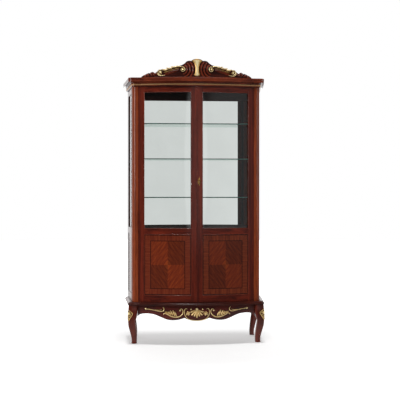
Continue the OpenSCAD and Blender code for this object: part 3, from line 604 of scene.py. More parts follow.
class Finishes:
    """Every finish of the cabinet, each made once."""

    def __init__(self) -> None:
        """Builds the materials."""
        self.upright = Mahogany(
            "mahogany, upright grain", "#44140c", "#772816", coat=0.5
        ).material()
        self.level = Mahogany(
            "mahogany, level grain", "#44140c", "#772816", Grain.ACROSS, coat=0.5
        ).material()
        self.cornice = Mahogany(
            "mahogany cornice, level grain", "#4a1b10", "#873a20", Grain.ACROSS, coat=0.5
        ).material()
        self.deep = Mahogany("mahogany, side grain", "#3c110b", "#68200f", Grain.DEEP).material()
        self.dark_level = Mahogany(
            "dark mahogany, level grain", "#2a0d09", "#4a190e", Grain.ACROSS, coat=0.2
        ).material()
        self.dark_upright = Mahogany(
            "dark mahogany, upright grain", "#2a0d08", "#45180d"
        ).material()
        self.plain = Mahogany(
            "mahogany shelf, level grain", "#4a1d12", "#7a3a22", Grain.ACROSS, coat=0.1
        ).material()
        self.inside = Mahogany(
            "dull dark mahogany, level grain", "#321a17", "#4c2720", Grain.ACROSS, coat=0.0
        ).material()
        self.leg = Mahogany(
            "mahogany legs, upright grain", "#461409", "#702614", coat=0.6
        ).material()
        self.apron = Mahogany(
            "mahogany apron, level grain", "#3a110c", "#642014", Grain.ACROSS, coat=0.5
        ).material()
        self.crest = Mahogany(
            "carved mahogany, level grain", "#4c180d", "#84361c", Grain.ACROSS, coat=0.4
        ).material()
        # the crest's ground: dark wood, drawn darker still as painted shade between the carved
        # ridges
        self.ground = Mahogany(
            "mahogany ground of the carving, painted dark for shade", "#200a07", "#43160d", Grain.ACROSS, coat=0.2
        ).material()
        self.post = Mahogany(
            "mahogany posts, upright grain", "#682711", "#9e4824", coat=0.25, sheen_roughness=0.22
        ).material()
        # painted highlight: the sight mouldings are a lighter copy of the mahogany, for the bright
        # line round the openings
        self.moulding = Mahogany(
            "mahogany mouldings, painted lighter for their highlight", "#5a1c10", "#8a3a22"
        ).material()
        self.gold = GoldLeaf().material()
        self.bead_gold = GoldLeaf(
            "gold leaf on the cornice bead", "#cb9c6c", "#9a7046", "#4a2d15"
        ).material()
        self.glass_edge = GlassEdge().material()
        self.brass = Metal("polished brass", "#c79f55", "#9a7433").material()
        self.old_brass = Metal("toned brass", "#a9814a", "#6f4f22", 0.4).material()
        self.steel = Metal("bright steel", "#b9b9b9", "#8e8e8e").material()
        self.glass = FloatGlass("float glass").material()
        self.side_glass = FloatGlass("float glass of the sides", shine=1.35).material()
        self.shelf_glass = FloatGlass(
            "float glass of the shelves", "#f6fbf9", shine=0.12
        ).material()
        self.mirror = SilveredGlass().material()


# ---------- shapes ----------


def spline(knots: Sequence[Sequence[float]], steps: int) -> list[tuple[float, ...]]:
    """Runs a smooth line through a few knots.

    Args:
        knots: points with any number of values each.
        steps: points drawn for each stretch between two knots.

    Returns:
        The points of the line, knots included.
    """
    last = len(knots) - 1
    line = []
    for i in range(last):
        a, b, c, d = knots[max(i - 1, 0)], knots[i], knots[i + 1], knots[min(i + 2, last)]
        for s in range(steps):
            t = s / steps
            line.append(tuple(
                (
                    2 * q
                    + (r - p) * t
                    + (2 * p - 5 * q + 4 * r - w) * t * t
                    + (3 * q - p - 3 * r + w) * t**3
                ) / 2
                for p, q, r, w in zip(a, b, c, d)
            ))
    line.append(tuple(knots[last]))
    return line


def left_of(a: Sequence[float], b: Sequence[float]) -> tuple[float, float]:
    """Gives the unit vector to the left of the way from a to b.

    Args:
        a: start of the way, as (x, z, ...).
        b: its end.

    Returns:
        The vector, as (x, z).
    """
    dx, dz = b[0] - a[0], b[1] - a[1]
    length = math.hypot(dx, dz) or 1.0
    return -dz / length, dx / length


@dataclass(frozen=True)
class Bow:
    """The bowed front: circles round one centre behind the cabinet."""

    radius: float = 1705.143
    centre_y: float = 1641.643

    def y(self, reach: float, x: float) -> float:
        """Gives the depth of the circle that stands reach in front of the doors, at x."""
        return self.centre_y - math.sqrt((self.radius + reach) ** 2 - x * x)

    def on(self, reach: float) -> Place:
        """Gives a way to place (x, z, height) over the circle at reach in front of the doors."""
        return lambda x, z, height: Vector((x, self.y(reach + height, x), z))


BOW = Bow()


@dataclass
class Shape:
    """Points and faces of one piece, in plan millimetres, with a tone for each point."""

    points: list[Vector] = field(default_factory=list)
    faces: list[tuple[int, ...]] = field(default_factory=list)
    tones: list[float] = field(default_factory=list)

    def loft(self, rings: Sequence[Sequence[Vector]], tones: Sequence[float] | None = None) -> None:
        """Skins a row of closed rings and caps both ends.

        Args:
            rings: rings with the same number of points.
            tones: one tone for each point of a ring.
        """
        start, size = len(self.points), len(rings[0])
        for ring in rings:
            self.points.extend(ring)
            self.tones.extend(tones or [0.6] * size)
        for i in range(len(rings) - 1):
            for j in range(size):
                k = (j + 1) % size
                a, b = start + i * size, start + (i + 1) * size
                self.faces.append((a + j, a + k, b + k, b + j))
        self.faces.append(tuple(start + j for j in reversed(range(size))))
        self.faces.append(tuple(start + (len(rings) - 1) * size + j for j in range(size)))

    def add(self, other: Shape, flip: bool = False) -> None:
        """Takes in another shape, mirrored from right to left if asked.

        Args:
            other: the shape to take in.
            flip: whether it is mirrored.
        """
        start = len(self.points)
        turn = Vector((-1.0 if flip else 1.0, 1.0, 1.0))
        self.points.extend(p * turn for p in other.points)
        self.tones.extend(other.tones)
        self.faces.extend(tuple(start + i for i in f) for f in other.faces)

    def both_sides(self) -> Shape:
        """Gives the shape together with its mirror image.

        Returns:
            The pair as one shape.
        """
        pair = Shape()
        pair.add(self)
        pair.add(self, flip=True)
        return pair

    def build(
        self,
        name: str,
        finish: bpy.types.Material,
        body: str,
        slot: str,
        replaces: Sequence[str] = (),
        smooth_deg: float = 38.0,
    ) -> bpy.types.Object:
        """Makes the object and hands it to the frame.

        Args:
            name: the piece's name.
            finish: its material.
            body: the body that it rides on.
            slot: the record's slot; not used.
            replaces: CAD nodes that it stands for.
            smooth_deg: faces that meet at less than this angle are shaded as one.

        Returns:
            The new object.
        """
        mesh = bpy.data.meshes.new(name)
        mesh.from_pydata(
            [(p.x * MM, (p.y - MIDDLE_Y) * MM, p.z * MM) for p in self.points], [], self.faces
        )
        tone = mesh.attributes.new("tone", "FLOAT", "POINT")
        tone.data.foreach_set("value", self.tones)
        work = bmesh.new()
        work.from_mesh(mesh)
        bmesh.ops.remove_doubles(work, verts=work.verts, dist=WELD_MM * MM)
        bmesh.ops.recalc_face_normals(work, faces=work.faces)
        limit = math.radians(smooth_deg)
        for edge in work.edges:
            edge.smooth = len(edge.link_faces) == 2 and edge.calc_face_angle() < limit
        for face in work.faces:
            face.smooth = True
        work.to_mesh(mesh)
        work.free()
        mesh.materials.append(finish)
        piece = bpy.data.objects.new(name, mesh)
        bpy.context.scene.collection.objects.link(piece)
        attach(piece, body)
        if replaces:
            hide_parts(*replaces)
        LOG.info("%s: %d faces on %s", name, len(mesh.polygons), body)
        return piece


class Section(Enum):
    """Cross-section of a carved strip: (across from -1 to 1, height from 0 to 1, tone)."""

    # painted light: the tone, each point's last number, is lightest on the crest and darkest at the
    # edges and in the veins; the gold leaf draws it as highlight and shade
    ROUND = (
        (-1, -0.3, 0.1), (-0.95, 0.3, 0.3), (-0.6, 0.8, 0.6), (0, 1, 1), (0.6, 0.8, 0.6),
        (0.95, 0.3, 0.3), (1, -0.3, 0.1),
    )
    VEINED = (
        (-1, -0.3, 0.2), (-0.95, 0.25, 0.7), (-0.6, 0.62, 0.75), (-0.3, 0.7, 0.4), (-0.12, 0.95, 1),
        (0, 1, 1), (0.12, 0.95, 1), (0.3, 0.7, 0.4), (0.6, 0.62, 0.75), (0.95, 0.25, 0.7),
        (1, -0.3, 0.2),
    )


def strip(knots: Sequence[Knot], section: Section, place: Place, steps: int = 5) -> Shape:
    """Carves a strip along a line.

    Args:
        knots: (x, z, width, height) of the line's knots.
        section: the strip's cross-section.
        place: puts (x, z, height) on the surface that carries the strip.
        steps: points drawn between two knots.

    Returns:
        The closed strip.
    """
    line = spline(knots, steps)
    rings = []
    for i, (x, z, width, height) in enumerate(line):
        nx, nz = left_of(line[max(i - 1, 0)], line[min(i + 1, len(line) - 1)])
        half, rise = max(width, 0.4) / 2, max(height, 0.3)
        rings.append(
            [place(x + nx * half * a, z + nz * half * a, rise * h) for a, h, _ in section.value]
        )
    shape = Shape()
    shape.loft(rings, [tone for _, _, tone in section.value])
    return shape


def dome(x: float, z: float, radius: float, height: float, place: Place) -> Shape:
    """Carves a round boss.

    Args:
        x: its middle.
        z: its middle.
        radius: its radius at the foot.
        height: how far it stands out.
        place: puts (x, z, height) on the surface that carries it.

    Returns:
        The closed boss.
    """
    sides = 16
    rings, tones = [], []
    for share, rise in ((1.0, -0.2), (1.0, 0.25), (0.85, 0.65), (0.5, 0.92), (0.12, 1.0)):
        rings.append([
            place(x + radius * share * math.cos(a), z + radius * share * math.sin(a), height * rise)
            for a in (2 * math.pi * k / sides for k in range(sides))
        ])
        # painted light: the boss is toned lighter towards its top, a painted highlight, and darker
        # at its foot, a painted shade
        tones.append(0.3 + 0.7 * max(rise, 0.0))
    shape = Shape()
    shape.loft(rings)
    shape.tones = [t for t in tones for _ in range(sides)]
    return shape


def volute(
    x: float,
    z: float,
    radius: float,
    place: Place,
    start_deg: float,
    turns: float,
    width: float,
    height: float,
    eye: float,
) -> Shape:
    """Carves a volute that winds inwards to a round eye.

    Args:
        x: the eye's middle.
        z: the eye's middle.
        radius: outer radius at the start.
        place: puts (x, z, height) on the surface that carries it.
        start_deg: direction of the start, seen from the eye.
        turns: turns to the eye, positive for anticlockwise.
        width: width of the strip at the start.
        height: how far the volute stands out.
        eye: radius of the eye.

    Returns:
        The closed volute.
    """
    knots = []
    count = 18
    for k in range(count + 1):
        t = k / count
        reach = (radius - width / 2) * (1 - t) + eye * 0.9 * t
        angle = math.radians(start_deg + 360 * turns * t)
        at_x, at_z = x + reach * math.cos(angle), z + reach * math.sin(angle)
        knots.append((at_x, at_z, width * (1 - 0.45 * t), height * (0.75 + 0.25 * t)))
    shape = strip(knots, Section.ROUND, place, 2)
    shape.add(dome(x, z, eye, height * 1.15, place))
    return shape


def ray(x: float, z: float, turn_deg: float, *stations: tuple[float, float, float]) -> list[Knot]:
    """Sets the knots of a leaf or petal along a straight line.

    Args:
        x: start of the line.
        z: start of the line.
        turn_deg: its direction, anticlockwise from the right.
        *stations: distance from the start, width and height of each knot.

    Returns:
        The knots, for strip().
    """
    dx, dz = math.cos(math.radians(turn_deg)), math.sin(math.radians(turn_deg))
    return [(x + dx * far, z + dz * far, width, height) for far, width, height in stations]


def lobed(knots: Sequence[Knot], lobes: int, depth: float, steps: int = 8) -> list[Knot]:
    """Gives a leaf's line scalloped edges.

    Args:
        knots: (x, z, width, height) of the leaf's middle line.
        lobes: number of lobes along the leaf.
        depth: share of the width that the scallops take.
        steps: points drawn between two knots.

    Returns:
        A finer line for strip().
    """
    line = spline(knots, steps)
    leaf = []
    for i, (x, z, width, height) in enumerate(line):
        phase = (i / (len(line) - 1) * lobes) % 1.0
        swell = 1 - depth * (1 - math.sin(math.pi * phase) ** 0.6)
        leaf.append((x, z, width * swell, height * (0.85 + 0.15 * swell)))
    return leaf


# ---------- legs and base ----------


@dataclass
class Leg:
    """A cabriole leg.

    Each section gives its height, and its inner and outer faces, measured outwards from the middle
    of the foot.
    """

    foot_x: float = 495.0
    rear_x: float = 489.0
    rear_slim: float = 5.0
    foot_y: float = 14.0
    edge_r: float = 11.0
    rear_depth: float = 38.0
    back_y: float = 362.0
    sections: tuple[tuple[float, float, float], ...] = (
        (308, -28, 42), (290, -28, 43), (261, -28, 45), (232, -26, 46), (205, -20, 46),
        (180, -11, 45.5), (142, -15, 42), (100, -20, 31.5), (50, -24, 20), (20, -24, 18),
        (4, -23.5, 20.5),
    )
    ground_shade_tone: float = 0.12  # painted shade: the knee leaf's recessed ground is drawn nearly black
    relief_tone: float = 0.8

    def faces_at(self, z: float) -> tuple[float, float]:
        """Gives the inner and outer faces at height z.

        Args:
            z: height above the floor.

        Returns:
            The inner and the outer face.
        """
        line = self.line()
        for (z1, in1, out1), (z0, in0, out0) in zip(line, line[1:]):
            if z0 <= z <= z1:
                t = (z - z0) / (z1 - z0)
                return in0 + (in1 - in0) * t, out0 + (out1 - out0) * t
        return (line[0][1], line[0][2]) if z > line[0][0] else (line[-1][1], line[-1][2])

    def line(self) -> list[tuple[float, ...]]:
        """Gives the leg's faces in fine steps from the top down."""
        return spline(self.sections, 6)

    def ring(self, x0: float, x1: float, y0: float, y1: float, z: float) -> list[Vector]:
        """Gives a square with rounded corners.

        Args:
            x0: left side.
            x1: right side.
            y0: front side.
            y1: rear side.
            z: height above the floor.

        Returns:
            The corners' points in order.
        """
        ring, steps = [], 7
        for corner in range(4):
            cx = x1 - self.edge_r if corner in (0, 3) else x0 + self.edge_r
            cy = y1 - self.edge_r if corner < 2 else y0 + self.edge_r
            for s in range(steps):
                a = math.radians(90 * (corner + s / (steps - 1)))
                ring.append(
                    Vector((cx + self.edge_r * math.cos(a), cy + self.edge_r * math.sin(a), z))
                )
        return ring

    def front(self) -> Shape:
        """Carves the right front leg, which bends out over the corner.

        Returns:
            The closed leg.
        """
        shape = Shape()
        shape.loft([
            self.ring(self.foot_x + i, self.foot_x + o, self.foot_y - o, self.foot_y - i, z)
            for z, i, o in self.line()
        ])
        return shape

    def rear(self) -> Shape:
        """Carves the right rear leg, which bends out to the side.

        Returns:
            The closed leg.
        """
        shape = Shape()
        shape.loft([
            self.ring(
                self.rear_x + i + self.rear_slim, self.rear_x + o, self.back_y - self.rear_depth,
                self.back_y, z,
            )
            for z, i, o in self.line()
        ])
        return shape

    def round_corner(self, s: float, z: float, height: float) -> Vector:
        """Places a point on the right front leg.

        Args:
            s: distance along the surface from the outer edge, positive towards the side.
            z: height above the floor.
            height: how far the point stands off the surface.

        Returns:
            The point.
        """
        _, outer = self.faces_at(z)
        cx, cy = self.foot_x + outer - self.edge_r, self.foot_y - outer + self.edge_r
        quarter = self.edge_r * math.pi / 4
        turn = max(-quarter, min(quarter, s)) / self.edge_r
        run = s - turn * self.edge_r
        angle = -math.pi / 4 + turn
        along = Vector((-math.sin(angle), math.cos(angle), 0.0))
        away = Vector((math.cos(angle), math.sin(angle), 0.0))
        return Vector((cx, cy, z)) + away * (self.edge_r + height) + along * run

    def knee(self) -> Shape:
        """Carves the gilt leaf on the knee of the right front leg.

        Returns:
            The leaf.
        """
        place = self.round_corner
        shape = Shape()
        # painted shade: the leaf's recessed ground is a strip toned nearly black
        ground = [
            (0, 268, 4, 1.0), (0, 256, 34, 1.2), (0, 242, 66, 1.2), (0, 224, 46, 1.2),
            (0, 206, 22, 1.2), (0, 190, 4, 1.0),
        ]
        shape.add(strip(ground, Section.ROUND, place, 6))
        deep = len(shape.tones)
        for side in (-1, 1):
            rim = [
                (side, 270, 4, 2.2), (side * 16, 259, 6, 3), (side * 33, 243, 6, 3),
                (side * 24, 224, 6, 3), (side * 12, 205, 6, 3), (side, 186, 4, 2.4),
            ]
            shape.add(strip(rim, Section.ROUND, place, 6))
            for rise, reach in ((256, 13), (245, 25), (230, 19), (213, 10)):
                vein = [
                    (side, rise - 14, 4, 2.2), (side * reach * 0.5, rise - 5, 7, 2.8),
                    (side * reach, rise - 2, 3, 2),
                ]
                shape.add(strip(vein, Section.ROUND, place, 4))
        shape.tones = [
            self.ground_shade_tone if k < deep else self.relief_tone * tone
            for k, tone in enumerate(shape.tones)
        ]
        shape.add(dome(0, 243, 11, 4.0, place))
        return shape

    def build(self, finishes: Finishes) -> None:
        """Builds the four legs and the knee carvings.

        Args:
            finishes: the cabinet's finishes.
        """
        front, rear = self.front(), self.rear()
        for flip, name in ((False, "front_leg_right"), (True, "front_leg_left")):
            leg = Shape()
            leg.add(front, flip=flip)
            leg.build(f"carved_{name}", finishes.leg, "carcass", "mahogany", (name,))
        rear.both_sides().build(
            "carved_rear_legs", finishes.leg, "carcass", "dark_mahogany", ("rear_legs",)
        )
        self.knee().both_sides().build(
            "gilt_knee_leaves", finishes.gold, "carcass", "gilding", ("knee_carvings",)
        )


@dataclass
class Apron:
    """The bowed front apron with its scalloped lower edge and gilt carving."""

    top_z: float = 308.0
    reach: float = 6.0
    thickness: float = 22.0
    middle: tuple[tuple[float, float], ...] = (
        (0, 187.5), (30, 189), (60, 195.5), (84, 204), (97, 210.5)
    )
    wing: tuple[tuple[float, float], ...] = (
        (97, 210.5), (120, 203), (150, 195.5), (190, 192), (225, 195.5), (255, 204.5), (292, 220),
        (335, 236), (379, 242.5), (415, 241.5), (440, 236.5), (456, 228), (466.7, 214),
    )
    palmette_z: float = 276.0
    flower: tuple[float, float] = (70.0, 246.0)
    carving_shade: float = 0.85  # painted shade: the apron's gold is drawn darker than the crest's

    def board(self) -> Shape:
        """Saws the board and rounds its lower edge.

        Returns:
            The closed board.
        """
        edge = spline(self.middle, 8) + spline(self.wing, 8)[1:]
        line = [(-x, z) for x, z in reversed(edge)] + edge[1:]
        back = self.reach - self.thickness
        rings = []
        for x, z in line:
            corner = [
                (back, z), (self.reach - 5, z), (self.reach - 3, z + 0.5), (self.reach - 1, z + 2),
                (self.reach, z + 5), (self.reach, self.top_z), (back, self.top_z),
            ]
            rings.append([Vector((x, BOW.y(r, x), h)) for r, h in corner])
        shape = Shape()
        shape.loft(rings)
        return shape

    def carving(self) -> Shape:
        """Carves the scrolls, leaves, palmette and flowers, right half first.

        Returns:
            The carving of both halves.
        """
        on = BOW.on(self.reach)
        half = Shape()
        # rim of the middle field, which hooks inwards at the top
        rim = [
            (0, 190.5, 6, 4.5), (32, 192.5, 6, 4.5), (60, 199.5, 6.5, 5), (83, 215, 6.5, 5),
            (96, 238, 6.5, 5.5), (99, 262, 6.5, 6), (93, 281, 6, 6), (83, 286, 5.5, 6),
            (77, 280, 4, 5),
        ]
        half.add(strip(rim, Section.ROUND, on, 6))
        # C-scroll that ends in a leaf
        half.add(dome(132, 270, 7, 7, on))
        scroll = [
            (131, 278, 5, 5), (122, 283, 6, 6), (113, 275, 7, 6.5), (110, 257, 7.5, 6.5),
            (118, 238, 8.5, 7), (138, 223, 10, 7), (166, 218, 11, 7), (196, 223, 11, 7),
            (222, 234, 10, 7), (246, 246, 9, 6), (260, 243, 6, 4), (262, 234, 3, 3),
        ]
        half.add(strip(scroll, Section.ROUND, on, 6))
        for x, z, turn, length, width in (
            (160, 224, 66, 40, 12), (174, 226, 72, 48, 13), (188, 229, 64, 46, 13),
            (202, 233, 58, 36, 12), (216, 238, 62, 26, 11), (228, 242, 56, 24, 11),
            (240, 246, 60, 20, 10),
        ):
            leaf = ray(x, z, turn, (0, 5, 6), (length * 0.55, width, 7), (length, 4, 4))
            half.add(strip(leaf, Section.VEINED, on, 3))
        # rod with a hook at its inner end and a ball at its outer end
        rod = [
            (268, 296, 4, 4), (259, 286, 8, 6), (260, 272, 9, 6.5), (272, 263, 9, 6.5),
            (292, 263, 9, 6), (330, 270, 8, 6), (366, 277, 8, 6), (392, 279, 8, 6),
        ]
        half.add(strip(rod, Section.ROUND, on, 6))
        spur = [(276, 276, 4, 4), (300, 272, 7, 6), (330, 275, 3, 4)]
        half.add(strip(spur, Section.ROUND, on, 5))
        half.add(dome(401, 281, 8.5, 7, on))
        # palmette and, beside it, a flower
        for angle, length in ((-68, 58), (-46, 62), (-22, 56)):
            stations = ((5, 5, 6), (length * 0.5, 11, 7), (length * 0.85, 13, 6), (length, 5, 4))
            half.add(strip(ray(0, self.palmette_z, angle, *stations), Section.VEINED, on, 3))
        for turn in range(15, 375, 60):
            petal = ray(*self.flower, turn, (5, 5, 5), (12, 11, 6), (18, 4, 4))
            half.add(strip(petal, Section.VEINED, on, 3))
        half.add(dome(*self.flower, 6, 7, on))
        half.add(dome(46, 279, 6, 5, on))
        whole = half.both_sides()
        middle = [(0, 274, 6, 6), (0, 250, 14, 7), (0, 226, 16, 6.5), (0, 211, 5, 4)]
        whole.add(strip(middle, Section.VEINED, on, 3))
        whole.add(dome(0, 280, 11, 7, on))
        return whole

    def build(self, finishes: Finishes) -> None:
        """Builds the apron and its carving.

        Args:
            finishes: the cabinet's finishes.
        """
        self.board().build(
            "shaped_front_apron", finishes.apron, "carcass", "mahogany", ("front_apron",)
        )
        carving = self.carving()
        # painted shade: the whole apron carving is toned down
        carving.tones = [self.carving_shade * tone for tone in carving.tones]
        carving.build("gilt_apron_carving", finishes.gold, "carcass", "gilding", ("apron_carving",))


# ---------- mouldings ----------


@dataclass
class Rim:
    """Outer line of a moulding: sides, flat ears at the front corners and the bow between them.

    Every point has a partner further in, so that a profile keeps its depth round the ears.
    """

    reach: float
    corner_x: float
    rear_x: float
    break_x: float = 438.0
    back_y: float = 362.0
    depth: float = 50.0
    steps: int = 24

    def line(self) -> list[tuple[float, float, float, float]]:
        """Gives outer x, y and inner x, y from back left to back right.

        Returns:
            The points, each with its partner further in.
        """
        wide = BOW.radius + self.reach
        bowed = []
        for k in range(self.steps + 1):
            x = self.break_x * k / self.steps
            inner_x = x * (1 - self.depth / wide)
            bowed.append(
                (x, BOW.y(self.reach, x), inner_x, BOW.y(self.reach - self.depth, inner_x))
            )
        b, c, y = self.break_x, self.corner_x, bowed[-1][1]
        ear = [
            (b + 4, y + 0.8, b - 8, y + 50), (b + 9, y + 2.2, b - 3, y + 52),
            (b + 14, y + 3, b + 2, y + 53), (b + 20, y + 3.2, b + 8, y + 53.2),
            (c - 38, y + 4, c - 62, y + 54), (c - 27, y + 5.6, c - 59, y + 55.5),
            (c - 17, y + 9.8, c - 56, y + 58), (c - 9, y + 16, c - 53.5, y + 62),
            (c - 3.4, y + 24, c - 51.5, y + 68), (c - 0.4, y + 34, c - 50, y + 77),
            (c + 1.2, y + 46, c - 49.3, y + 88),
            (self.rear_x, self.back_y, self.rear_x - 50.5, self.back_y),
        ]
        right = bowed + ear
        return [
            (-x, y, -inner_x, inner_y) for x, y, inner_x, inner_y in reversed(right[1:])
        ] + right

    def moulding(self, profile: Sequence[tuple[float, float]], first: int, last: int) -> Shape:
        """Runs a profile of (inset, height) from one point of the line to another.

        Args:
            profile: the profile, as (inset, height).
            first: number of the first point.
            last: number of the last point; a negative one counts from the end.

        Returns:
            The closed length.
        """
        line = self.line()
        last %= len(line)
        shape = Shape()
        shape.loft([
            [
                Vector((x + (u - x) * d / self.depth, y + (v - y) * d / self.depth, z))
                for d, z in profile
            ]
            for x, y, u, v in line[first:last + 1]
        ])
        return shape

    def run(
        self,
        name: str,
        profile: Sequence[tuple[float, float]],
        front: bpy.types.Material,
        sides: bpy.types.Material,
        slot: str,
    ) -> None:
        """Builds a moulding in three mitred lengths.

        Args:
            name: the moulding's name.
            profile: its profile, as (inset, height).
            front: finish of the front length.
            sides: finish of the side lengths.
            slot: the record's slot of both; passed on to the build, which does not use it.
        """
        self.moulding(profile, 1, -2).build(
            f"run_{name}_front", front, "carcass", slot, (f"{name}_front",), 30
        )
        pair = self.moulding(profile, 0, 1)
        pair.add(self.moulding(profile, len(self.line()) - 2, -1))
        pair.build(f"run_{name}_sides", sides, "carcass", slot, (f"{name}_sides",), 30)


@dataclass
class Cornice:
    """Cornice moulding with its gilt bead."""

    bottom_z: float = 2035.5
    top_z: float = 2102.0
    bead_tone: float = 0.75
    rim: Rim = field(default_factory=lambda: Rim(42.0, 540.0, 586.0))

    def profile(self) -> list[tuple[float, float]]:
        """Gives the moulding's profile: seat of the bead, ovolo, fascia and top.

        Returns:
            Points of (inset, height).
        """
        low, top = self.bottom_z, self.top_z
        ovolo = [
            (0.6 + 19.4 * (1 - math.sin(a)), top - 19.5 - 13 * (1 - math.cos(a)))
            for a in (math.radians(90 * (1 - k / 8)) for k in range(9))
        ]
        seat = [
            (34, low), (27.8, low), (27, low + 0.8), (27, low + 8), (29, low + 8), (29, low + 20),
            (23, low + 20), (23, top - 35), (21.5, top - 34), (20, top - 33),
        ]
        fascia = [
            (1.5, top - 18.5), (0.4, top - 18), (0, top - 17), (0, top - 3), (0.9, top - 0.9),
            (3, top), (40, top), (40, top - 8), (50, top - 8), (50, low + 18), (34, low + 18),
        ]
        return seat + ovolo[::-1] + fascia

    def bead(self) -> list[tuple[float, float]]:
        """Gives the bead's half-round profile.

        Returns:
            Points of (inset, height).
        """
        low = self.bottom_z + 8
        return [(29, low)] + [
            (29 - 6 * math.sin(a), low + 6 - 6 * math.cos(a))
            for a in (math.pi * k / 10 for k in range(1, 10))
        ] + [(29, low + 12)]

    def build(self, finishes: Finishes) -> None:
        """Builds the moulding in three mitred lengths, and the bead.

        Args:
            finishes: the cabinet's finishes.
        """
        self.rim.run("cornice", self.profile(), finishes.cornice, finishes.deep, "mahogany")
        bead = self.rim.moulding(self.bead(), 0, -1)
        bead.tones = [self.bead_tone] * len(bead.points)
        bead.build(
            "gilt_cornice_bead", finishes.bead_gold, "carcass", "gilding", ("cornice_gilt_bead",),
            40,
        )


@dataclass
class BaseMoulding:
    """Moulding round the base board: a bullnose with a hollow above it."""

    low: float = 308.0
    high: float = 332.0
    rim: Rim = field(default_factory=lambda: Rim(40.0, 543.0, 573.0))

    def profile(self) -> list[tuple[float, float]]:
        """Gives the moulding's profile.

        Returns:
            Points of (inset, height).
        """
        nose = [
            (7.5 - 7.5 * math.sin(a), self.low + 7.5 - 7.5 * math.cos(a))
            for a in (math.pi * k / 12 for k in range(13))
        ]
        hollow = [(7.5, self.low + 16.2)] + [
            (22 - 13.5 * math.cos(a), self.high - 7 * (1 - math.sin(a)))
            for a in (math.pi / 2 * k / 6 for k in range(7))
        ]
        return [(30, self.low)] + nose + hollow + [(30, self.high)]

    def build(self, finishes: Finishes) -> None:
        """Builds the moulding in three mitred lengths.

        Args:
            finishes: the cabinet's finishes.
        """
        self.rim.run(
            "base_moulding", self.profile(), finishes.dark_level, finishes.deep, "dark_mahogany"
        )


# ---------- crest ----------


